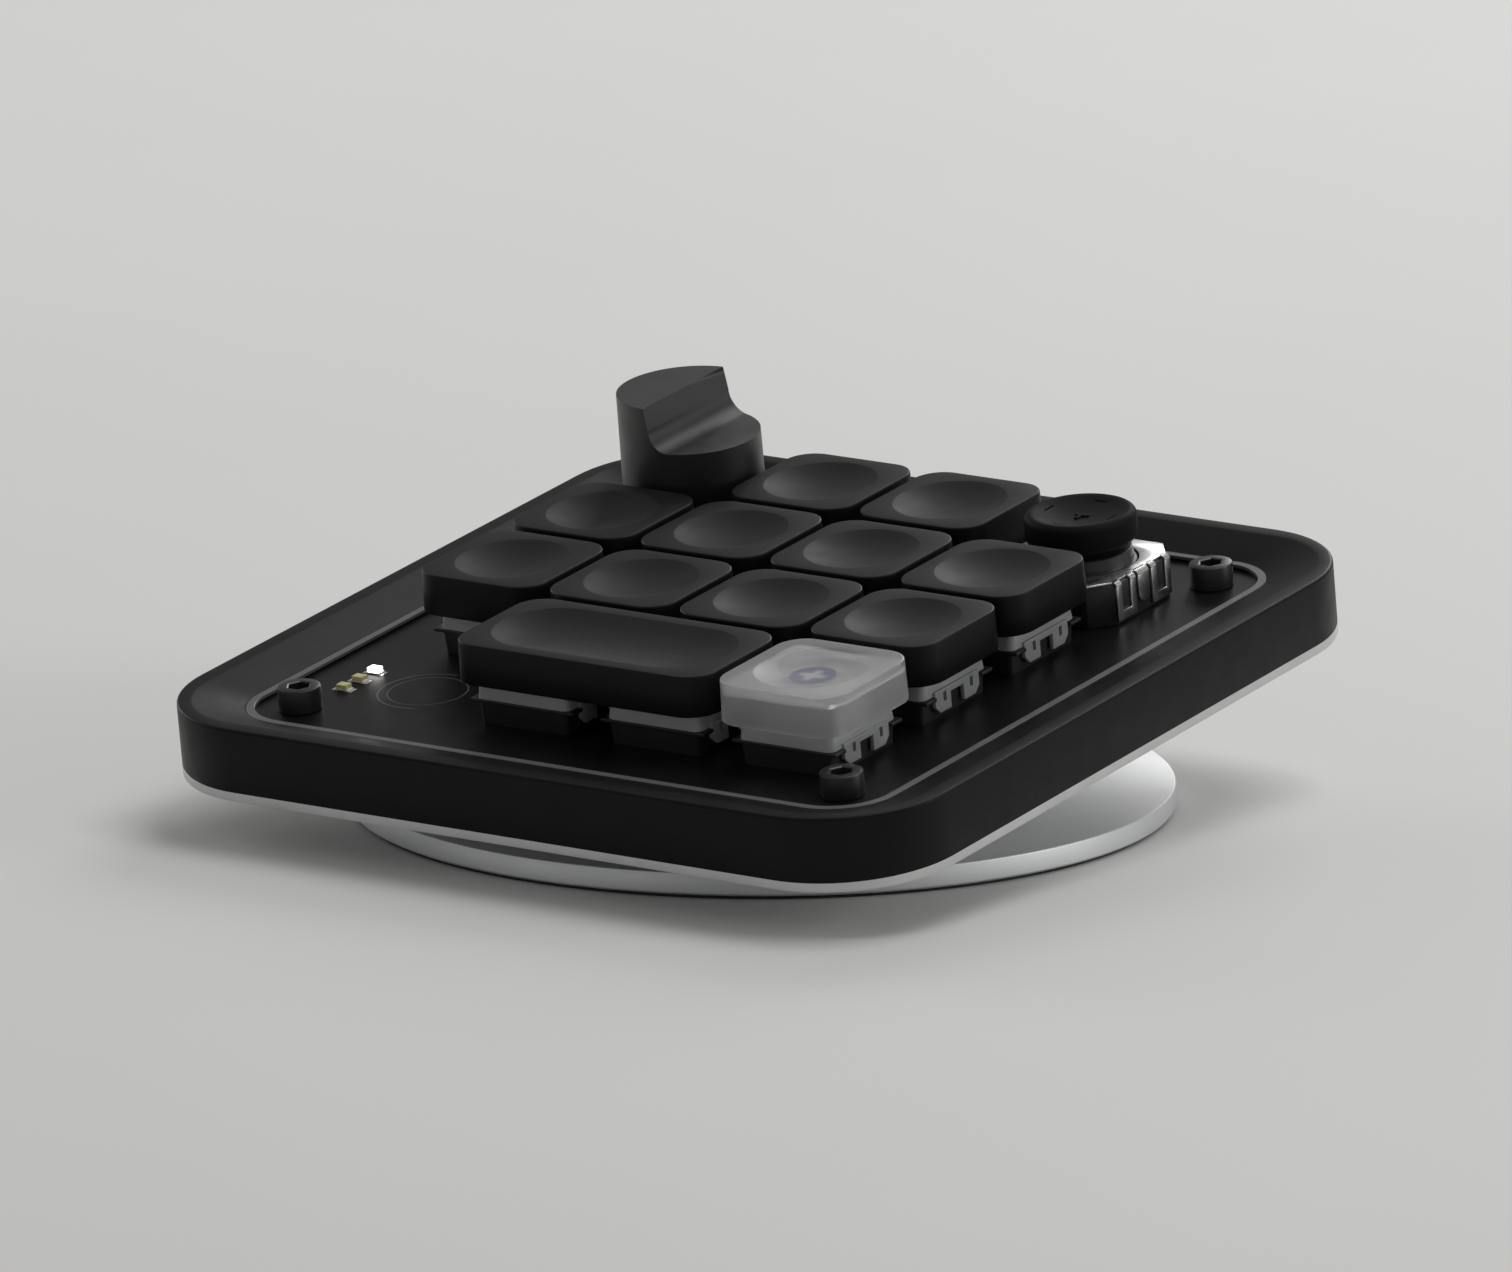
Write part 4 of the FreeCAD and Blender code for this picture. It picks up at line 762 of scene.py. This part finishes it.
def clip_shape(side):
    """Makes one side's pair of clip legs: pointed feet about a square gap, small slots."""
    right, foot, point, gap, gap_tall = 4.6, 0.8, 0.9, 1.35, 2.0
    near, far, top = 6.55, 7.1, SWITCH_SEAM + 0.5
    outline = [(-right, top), (-right, foot + point), (-right + point, foot), (-gap, foot),
               (-gap, foot + gap_tall), (gap, foot + gap_tall), (gap, foot),
               (right - point, foot), (right, foot + point), (right, top)]
    leg = loose_piece("clip_legs", moved(softened(slab(outline, near, far), 0.07, 2), SIDEWAYS))
    slots = together(*[block(7.0, y, 2.0, 2.0, 0.65, 1.2) for y in (-2.6, 3.0)])
    cut(leg, loose_piece("clip_slots", slots))
    shape = shape_of(leg)
    if side < 0:
        moved(shape, Matrix.Rotation(math.pi, 4, "Z"))
    return shape


def switch_hood_shape():
    """Makes the upper housing: a tapered hood with the stem's window, and its clip legs."""
    low, high, roof, side, room = SWITCH_SEAM, 5.15, 0.8, 13.6, 11.8
    window, window_depth = 10.4, 5.0
    lean = math.tan(math.radians(6.0)) * (high - low)

    def level(inset, corner, height):
        return ring(side - inset, side - inset, corner, height, 4)

    def window_ring(height):
        return ring(window, window_depth, 0.2, height, 4)

    hood = skin([level(0.0, 1.0, low), level(lean * 1.8, 0.9, high - 0.2),
                 level(lean * 2 + 0.12, 0.85, high - 0.05), level(lean * 2 + 0.4, 0.8, high),
                 window_ring(high), window_ring(high - roof),
                 ring(room, room, 0.3, high - roof, 4), ring(room, room, 0.3, low, 4)],
                closed=True)
    return together(hood, clip_shape(1), clip_shape(-1))


class KeypadSwitches(bpy.types.Operator):
    """Make the rows of switch housings"""

    bl_idname = "keypad.switches"
    bl_label = "Switches"

    def execute(self, context):
        size = sizes()
        for row in range(1, ROWS + 1):
            columns = switch_columns(row)
            left, y = key_centre(columns[0], row)
            width = size.key_pitch * (len(columns) - 1)
            for name, make, look, slot, node in (
                    ("bases", switch_base_shape, "switch_black", "switch_black", "bases"),
                    ("hoods", switch_hood_shape, "switch_hood", "switch_grey", "tops")):
                piece = loose_piece(f"switch_{name}_of_row_{row}", make())
                set_in_rows(piece, len(columns), 1, width, 0.0, look)
                put(piece, keypad_place(left + width / 2, y, size.board_top))
                hang(piece, look, "keypad", [f"switch_{node}_row_{row}"])
        return {"FINISHED"}


def cap_shape(size, columns=1, cavity=CAP_CAVITY):
    """Makes a dished cap with drafted skirt, soft rim and hollow underside.

    The foot's edge and the dish's edge are rounded by steps of distance and height.
    """
    extra = size.key_pitch * (columns - 1)
    width, low, high = size.cap_width, size.cap_bottom, size.cap_bottom + size.cap_height
    edge, wall, bend, radius = size.cap_edge, 1.25, 1.4, size.dish_radius
    roof, roof_edge, lead, lead_rise = low + cavity, 0.3, 0.05, 0.12
    foot_edge = ((0.16, 0.0), (0.05, 0.04), (0.0, 0.15))
    dish_edge = ((0.14, 0.0), (0.05, 0.006), (-0.05, 0.028))
    lean = math.tan(math.radians(1.6)) * (size.cap_height - edge)

    def level(inset, height, corner=None):
        side = width - inset * 2
        return ring(side + extra, side, corner or size.cap_corner - inset, height)

    def round_ring(reach, height):
        return ring(reach * 2 + extra, reach * 2, reach, height)

    rings = [level(inset, low + rise) for inset, rise in foot_edge]
    rings += [level(lean * 0.5, (low + high) / 2), level(lean, high - edge)]
    rings += [level(lean + edge * (1 - math.cos(angle)), high - edge + edge * math.sin(angle))
              for angle in quarter(5)[1:]]
    rings += [round_ring(radius + out, high - drop) for out, drop in dish_edge]
    for step in range(1, 9):
        reach = radius * (1 - step / 8) + 0.001
        rings.append(round_ring(reach, high - dish_sink(reach, radius, size.dish_depth)))
    inside = [level(foot_edge[0][0], low), level(wall - lead, low, bend),
              level(wall, low + lead_rise, bend), level(wall, roof - roof_edge, bend),
              level(wall + roof_edge, roof, bend)]
    whole = together(open_foot(skin(rings)), open_foot(skin(inside)))
    bmesh.ops.remove_doubles(whole, verts=whole.verts, dist=1e-4)
    bmesh.ops.recalc_face_normals(whole, faces=whole.faces)
    return whole


def cap_pegs(size, columns=1):
    """Makes the flat pegs under a cap that press into its stems."""
    apart, width, depth, tall, sunk, edge = 5.7, 1.2, 3.0, 2.7, 0.05, 0.08
    roof = size.cap_bottom + CAP_CAVITY
    middles = [size.key_pitch * (step - (columns - 1) / 2) for step in range(columns)]
    return [block(middle + side * apart / 2, 0.0, roof - tall, width, depth, tall + sunk, edge, 1)
            for middle in middles for side in (-1, 1)]


def add_sign(place, body):
    """Puts the round patch and its plus just under the frosted cap's dish."""
    radius, low, high, arm, bar, thick = 2.8, 16.44, 16.48, 3.5, 1.1, 0.03
    dress("cap_sign", drum(radius, low, high), place, "cap_sign", body)
    bars = together(block(0.0, 0.0, high + 0.005, arm, bar, thick),
                    block(0.0, 0.0, high + 0.006, bar, arm, thick))
    dress("cap_plus", bars, place, "white_acetal", body)


class KeypadCaps(bpy.types.Operator):
    """Make the black key caps, the frosted one and the wide one"""

    bl_idname = "keypad.caps"
    bl_label = "Key caps"

    def execute(self, context):
        size = sizes()
        for column, row in cap_spots():
            name = f"column_{column}_row_{row}"
            frosted = (column, row) == FROSTED_SPOT
            look, cavity = "cap_black", CAP_CAVITY
            if frosted:
                look, cavity = "cap_frosted", FROSTED_CAVITY
            place = keypad_place(*key_centre(column, row))
            shape = together(cap_shape(size, cavity=cavity), *cap_pegs(size))
            dress(f"cap_{name}", shape, place, look, f"key_{name}", [f"keycap_{name}"])
            if frosted:
                add_sign(place, f"key_{name}")
        x, y = key_centre(*WIDE_SPOTS[0])
        wide = together(cap_shape(size, len(WIDE_SPOTS)), *cap_pegs(size, len(WIDE_SPOTS)))
        dress("cap_wide", wide, keypad_place(x + size.key_pitch / 2, y), "cap_black",
              "key_wide", ["keycap_wide"])
        return {"FINISHED"}


# Knob and thumb stick

def knob_outline(size):
    """Lists the scoop's outline: down the steep ridge, round the bend, along the shelf."""
    top, shelf, bend = size.knob_height, size.knob_height - 5.6, 2.8
    ridge, lean, fall, clear = -0.5, 0.5, 0.2, 4.0
    far = size.knob_radius + clear
    points = [(ridge, top)]
    points += [(ridge + lean + bend * (1 - math.cos(angle)), shelf + bend * (1 - math.sin(angle)))
               for angle in quarter(16)]
    points += [(far, shelf - fall), (far, top + clear), (ridge, top + clear)]
    return points


class KeypadKnob(bpy.types.Operator):
    """Make the scooped knob"""

    bl_idname = "keypad.knob"
    bl_label = "Knob"

    def execute(self, context):
        size = sizes()
        radius, tall, foot, edge, rings = size.knob_radius, size.knob_height, 7.1, 0.15, 14
        lean = math.tan(math.radians(0.6)) * tall
        body = skin([circle(radius - edge, 0.0, 24)]
                    + [circle(radius - lean * step / rings,
                              edge + (tall - edge) * step / rings, 24)
                       for step in range(rings + 1)])
        knob = loose_piece("knob_dressed", body)
        scoop = moved(slab(knob_outline(size), -12.0, 12.0), UPRIGHT)
        cut(knob, loose_piece("scoop_cutter", scoop),
            loose_piece("room_cutter", drum(5.2, -1.0, 3.3)),
            loose_piece("bore_cutter", drum(2.55, 3.0, 6.5, 12)))
        soft = knob.modifiers.new("soft", "BEVEL")
        soft.width = 0.2
        soft.segments = 3
        soft.limit_method = "ANGLE"
        soft.angle_limit = math.radians(35.0)
        soft.harden_normals = False
        set_modifiers(knob, 40.0)
        put(knob, keypad_place(*key_centre(1, 4), size.board_top + foot))
        hang(knob, "knob_black", "knob", ["knob"])
        return {"FINISHED"}


def ball_side(ball, heights):
    """Lists radius and height along a ball about the stick's pivot."""
    return [(math.sqrt(ball ** 2 - height ** 2), height) for height in heights]


def about_pivot(profile):
    """Turns a closed profile whose heights start at the stick's pivot."""
    return skin([circle(radius, STICK_PIVOT + height, 16) for radius, height in profile],
                closed=True)


def dome_shape():
    """Makes the dust dome: a ball's band below an upright rim, with a hole for the stick."""
    ball, inner, skirt, roof, top = 6.3, 5.7, 1.0, 2.9, 3.5
    rim = [(6.07, 2.0), (6.15, 2.1), (5.97, 3.4), (5.86, top)]
    outside = ball_side(ball, [skirt + step / 8 for step in range(9)])
    inside = ball_side(inner, [roof - (roof - skirt) * step / 6 for step in range(7)])
    return about_pivot(outside + rim + [(STICK_ROD, top), (STICK_ROD, roof)] + inside)


def collar_shape():
    """Makes the bright ball-shaped collar that closes the can's opening round the dome."""
    ball, inner, low, high = 6.68, 6.32, 0.4, 1.75
    heights = [low + (high - low) * step / 8 for step in range(9)]
    return about_pivot(ball_side(ball, heights) + ball_side(inner, heights[::-1]))


def thumb_cap_shape(size):
    """Makes the thumb cap: neck, round rim and a dish."""
    radius, neck, neck_radius, flare = size.thumb_radius, STICK_PIVOT + 4.25, 4.4, 0.6
    foot, socket, bend, rim, lead = STICK_PIVOT + 3.5, STICK_PIVOT + 6.85, 1.25, 0.9, 0.1
    profile = [(0.0, socket), (STICK_ROD, socket), (STICK_ROD, foot),
               (neck_radius + flare, foot), (neck_radius, neck - lead)]
    profile += [(radius - bend + bend * math.sin(angle), neck + bend - bend * math.cos(angle))
                for angle in quarter(6)]
    profile += [(radius - rim + rim * math.cos(angle), THUMB_TOP - rim + rim * math.sin(angle))
                for angle in quarter(6)]
    reach = radius - rim
    for step in range(1, 11):
        out = reach * (1 - step / 10)
        profile.append((out, THUMB_TOP - dish_sink(out, reach, THUMB_DISH)))
    return turned(profile, 16)


def thumb_slit(turn):
    """Makes the cutter for one slit in the thumb cap's dish."""
    out, width, long, tall, depth, edge = 4.55, 0.26, 1.9, 1.0, 0.8, 0.08
    slit = block(out, 0.0, -0.5, width, long, tall, edge)
    return moved(slit, Matrix.Translation((0.0, 0.0, THUMB_TOP + 0.5 - depth))
                 @ Matrix.Rotation(math.pi / 2 * turn, 4, "Z"))


def thumb_mark():
    """Makes the small three-armed mark raised in the middle of the thumb cap's dish."""
    arm, width, sunk, tall, edge = 1.1, 0.42, 0.25, 0.5, 0.1
    arms = [moved(block(arm / 2, 0.0, -sunk, arm, width, tall, edge),
                  Matrix.Rotation(math.tau / 3 * third + 0.5, 4, "Z")) for third in range(3)]
    return moved(together(*arms), Matrix.Translation((0.0, 0.0, THUMB_TOP - THUMB_DISH)))


def can_plate():
    """Makes the can's eight-sided plate with its round opening."""
    thick, corner, opening, edge = 0.4, 2.8, 6.75, 0.07
    straight = CAN_SIDE - corner
    outline = [(-CAN_EDGE, -straight), (-CAN_EDGE, straight), (-straight, CAN_SIDE),
               (straight, CAN_SIDE), (CAN_EDGE, straight), (CAN_EDGE, -straight),
               (straight, -CAN_SIDE), (-straight, -CAN_SIDE)]
    shape = softened(slab(outline[::-1], CAN_TOP - thick, CAN_TOP), edge, 2)
    plate = loose_piece("can_plate", shape)
    cut(plate, loose_piece("can_hole", drum(opening, CAN_TOP - 1.5, CAN_TOP + 1.5, 24)))
    return shape_of(plate)


def can_fold():
    """Lists the outline of the sheet where it bends down at the can's edge."""
    start = CAN_EDGE - SHEET

    def bend(radius, angles):
        return [(CAN_EDGE + radius * math.sin(angle),
                 CAN_TOP - FOLD + radius * math.cos(angle)) for angle in angles]

    return ([(start, CAN_TOP)] + bend(FOLD, quarter(6)) + bend(FOLD - SHEET, quarter(6)[::-1])
            + [(start, CAN_TOP - SHEET)])


def can_shape():
    """Makes the metal can: plate, bends, and on each side a tongue between two open tabs."""
    half, tongue, step, rim, overlap = 2.05, 1.15, 3.75, 1.1, 0.02
    top, foot, drop = CAN_TOP - FOLD + overlap, CAN_TOP - 5.0, CAN_TOP - 4.1
    inner = half - rim
    tongue_tab = [(tongue, top), (-tongue, top)]
    tongue_tab += [(-tongue * math.cos(angle), drop + tongue - tongue * math.sin(angle))
                   for angle in [math.pi * part / 12 for part in range(13)]]
    open_tab = [(-half, foot), (half, foot), (half, top), (inner, top), (inner, foot + rim),
                (-inner, foot + rim), (-inner, top), (-half, top)]
    legs = ((-half, -inner), (inner, half))
    shapes = [can_plate()]
    for turn in (0.0, math.pi):
        spun = Matrix.Rotation(turn, 4, "Z")
        for y, tab, bends in ((-step, open_tab, legs), (0.0, tongue_tab, ((-tongue, tongue),)),
                              (step, open_tab, legs)):
            for start, end in bends:
                strip = moved(slab(can_fold(), start, end),
                              Matrix.Translation((0.0, y, 0.0)) @ UPRIGHT)
                shapes.append(moved(strip, spun))
            outline = [(y + across, height) for across, height in tab]
            hung = softened(slab(outline, CAN_SIDE - SHEET, CAN_SIDE), 0.05, 2)
            shapes.append(moved(moved(hung, SIDEWAYS), spun))
    return together(*shapes)


class KeypadJoystick(bpy.types.Operator):
    """Make the joystick's thumb cap, dome, collar and can"""

    bl_idname = "keypad.joystick"
    bl_label = "Joystick"

    def execute(self, context):
        size, stick = sizes(), "joystick_stick"
        place = keypad_place(*key_centre(4, 4), size.board_top)
        cap = loose_piece("thumb_cap", thumb_cap_shape(size))
        slits = together(*[thumb_slit(turn) for turn in range(4)])
        cut(cap, loose_piece("thumb_slits", slits))
        put(cap, place)
        hang(cap, "thumb_rubber", stick, ["joystick_cap"])
        dress("thumb_nub", thumb_mark(), place, "thumb_rubber", stick)
        dress("dome_dressed", dome_shape(), place, "switch_black", stick,
              ["joystick_dome"])
        dress("dome_collar", collar_shape(), place, "bright_can", stick)
        dress("can_dressed", can_shape(), place, "bright_can", "keypad",
              ["joystick_can"], 40.0)
        return {"FINISHED"}


# Small and plain pieces

def rounded_copy(node, edge):
    """Copies a plain piece, joins its triangles and rounds its sharp edges."""
    shape = bmesh.new()
    shape.from_mesh(frame["nodes"][node].data)
    bmesh.ops.remove_doubles(shape, verts=shape.verts, dist=2e-6)
    bmesh.ops.dissolve_limit(shape, angle_limit=math.radians(1.0), verts=shape.verts,
                             edges=shape.edges)
    return softened(shape, edge * MM, 2)


class KeypadSmallParts(bpy.types.Operator):
    """Round the edges of the joystick's base and of the rear socket, and make the foot pad"""

    bl_idname = "keypad.small_parts"
    bl_label = "Small parts"

    def execute(self, context):
        for node, edge, look, slot in (("joystick_base", 0.12, "switch_black", "stick_black"),
                                       ("usb_socket", 0.06, "steel", "port_steel")):
            dress(f"{node}_dressed", rounded_copy(node, edge), None, look, "keypad", [node])
        inset, thick, lead = 0.8, 0.5, 0.1
        radius = sizes().stand_radius - inset
        pad = turned([(0.0, 0.0), (radius - lead, 0.0), (radius, lead), (radius, thick),
                      (0.0, thick)], 48)
        dress("foot_pad_dressed", pad, desk_place(), "foot_rubber", "stand",
              ["stand_foot_pad"])
        return {"FINISHED"}


CARRIED = {
    "stand_magnet": "nickel", "swivel_washer": "white_acetal",
    "steel_target": "steel", "circuit_board": "board_black", "standoffs": "brass",
    "hotswap_sockets": "socket_black", "controller_chip": "socket_black",
    "switch_springs": "steel", "encoder_body": "socket_black", "encoder_bushing": "steel",
    "encoder_rotor": "socket_black", "encoder_shaft": "steel",
    "joystick_cradle": "switch_black",
    "joystick_gimbal": "white_acetal", "joystick_stick": "white_acetal",
    "stems_wide": "stem_white",
}


class KeypadCarried(bpy.types.Operator):
    """Give the pieces that keep their plain shape their finishes"""

    bl_idname = "keypad.carried"
    bl_label = "Plain pieces"

    def execute(self, context):
        looks = dict(CARRIED)
        for column, row in cap_spots():
            looks[f"stem_column_{column}_row_{row}"] = "stem_white"
        for node, look in looks.items():
            mesh = frame["nodes"][node].data
            mesh.materials.clear()
            mesh.materials.append(FINISHES[look])
        return {"FINISHED"}


# Stage and panel

class KeypadStage(bpy.types.Operator):
    """Set the camera, the pale floor and the soft light"""

    bl_idname = "keypad.stage"
    bl_label = "Stage"

    def execute(self, context):
        scene = context.scene
        scene.view_settings.view_transform = "Standard"
        lens = bpy.data.cameras.new("camera")
        lens.sensor_width = 36.0
        lens.lens = 410.25
        lens.clip_end = 20.0
        camera = bpy.data.objects.new("camera", lens)
        camera.location = CAMERA_SPOT
        camera.rotation_euler = Vector(CAMERA_AIM).to_track_quat("-Z", "Y").to_euler()
        scene.collection.objects.link(camera)
        scene.camera = camera

        width, thick = 8000.0, 20.0
        floor = loose_piece("floor", block(0.0, 0.0, -thick, width, width, thick), desk_place())
        look = Finish("floor_paper", colours().floor, 0.85, specular=0.2)
        look.mottle(120.0, 0.01)
        floor.data.materials.append(look.material)

        world = bpy.data.worlds.new("studio")
        scene.world = world
        world.use_nodes = True
        sky = world.node_tree.nodes["Background"]
        sky.inputs["Color"].default_value = (1.0, 1.0, 1.0, 1.0)
        sky.inputs["Strength"].default_value = 0.26
        for name, spot, side, watts, tint in LAMPS:
            lamp = bpy.data.lights.new(name, "AREA")
            lamp.shape = "SQUARE"
            lamp.size = side
            lamp.energy = watts
            lamp.color = tint
            light = bpy.data.objects.new(name, lamp)
            light.location = spot
            light.rotation_euler = (-Vector(spot)).to_track_quat("-Z", "Y").to_euler()
            scene.collection.objects.link(light)
        return {"FINISHED"}


PIECES = (KeypadStage, KeypadStand, KeypadCase, KeypadBoard, KeypadScrews, KeypadLights,
          KeypadSwitches, KeypadCaps, KeypadKnob, KeypadJoystick, KeypadSmallParts,
          KeypadCarried)


class KeypadPanel(bpy.types.Panel):
    """Lists the keypad's pieces, sizes and colours."""

    bl_idname = "VIEW3D_PT_keypad"
    bl_label = "Macro keypad"
    bl_space_type = "VIEW_3D"
    bl_region_type = "UI"
    bl_category = "Keypad"

    def draw(self, context):
        for piece in PIECES:
            self.layout.operator(piece.bl_idname)
        for group in (sizes(), colours()):
            for name in type(group).__annotations__:
                self.layout.prop(group, name)


CLASSES = (KeypadSizes, KeypadColours, *PIECES, KeypadPanel)


def register():
    for item in CLASSES:
        bpy.utils.register_class(item)
    bpy.types.Scene.keypad_sizes = bpy.props.PointerProperty(type=KeypadSizes)
    bpy.types.Scene.keypad_colours = bpy.props.PointerProperty(type=KeypadColours)


def unregister():
    del bpy.types.Scene.keypad_colours
    del bpy.types.Scene.keypad_sizes
    for item in reversed(CLASSES):
        bpy.utils.unregister_class(item)


def main():
    register()
    mix_finishes()
    for piece in PIECES:
        getattr(bpy.ops.keypad, piece.bl_idname.split(".")[1])()


if __name__ == "__main__":
    main()
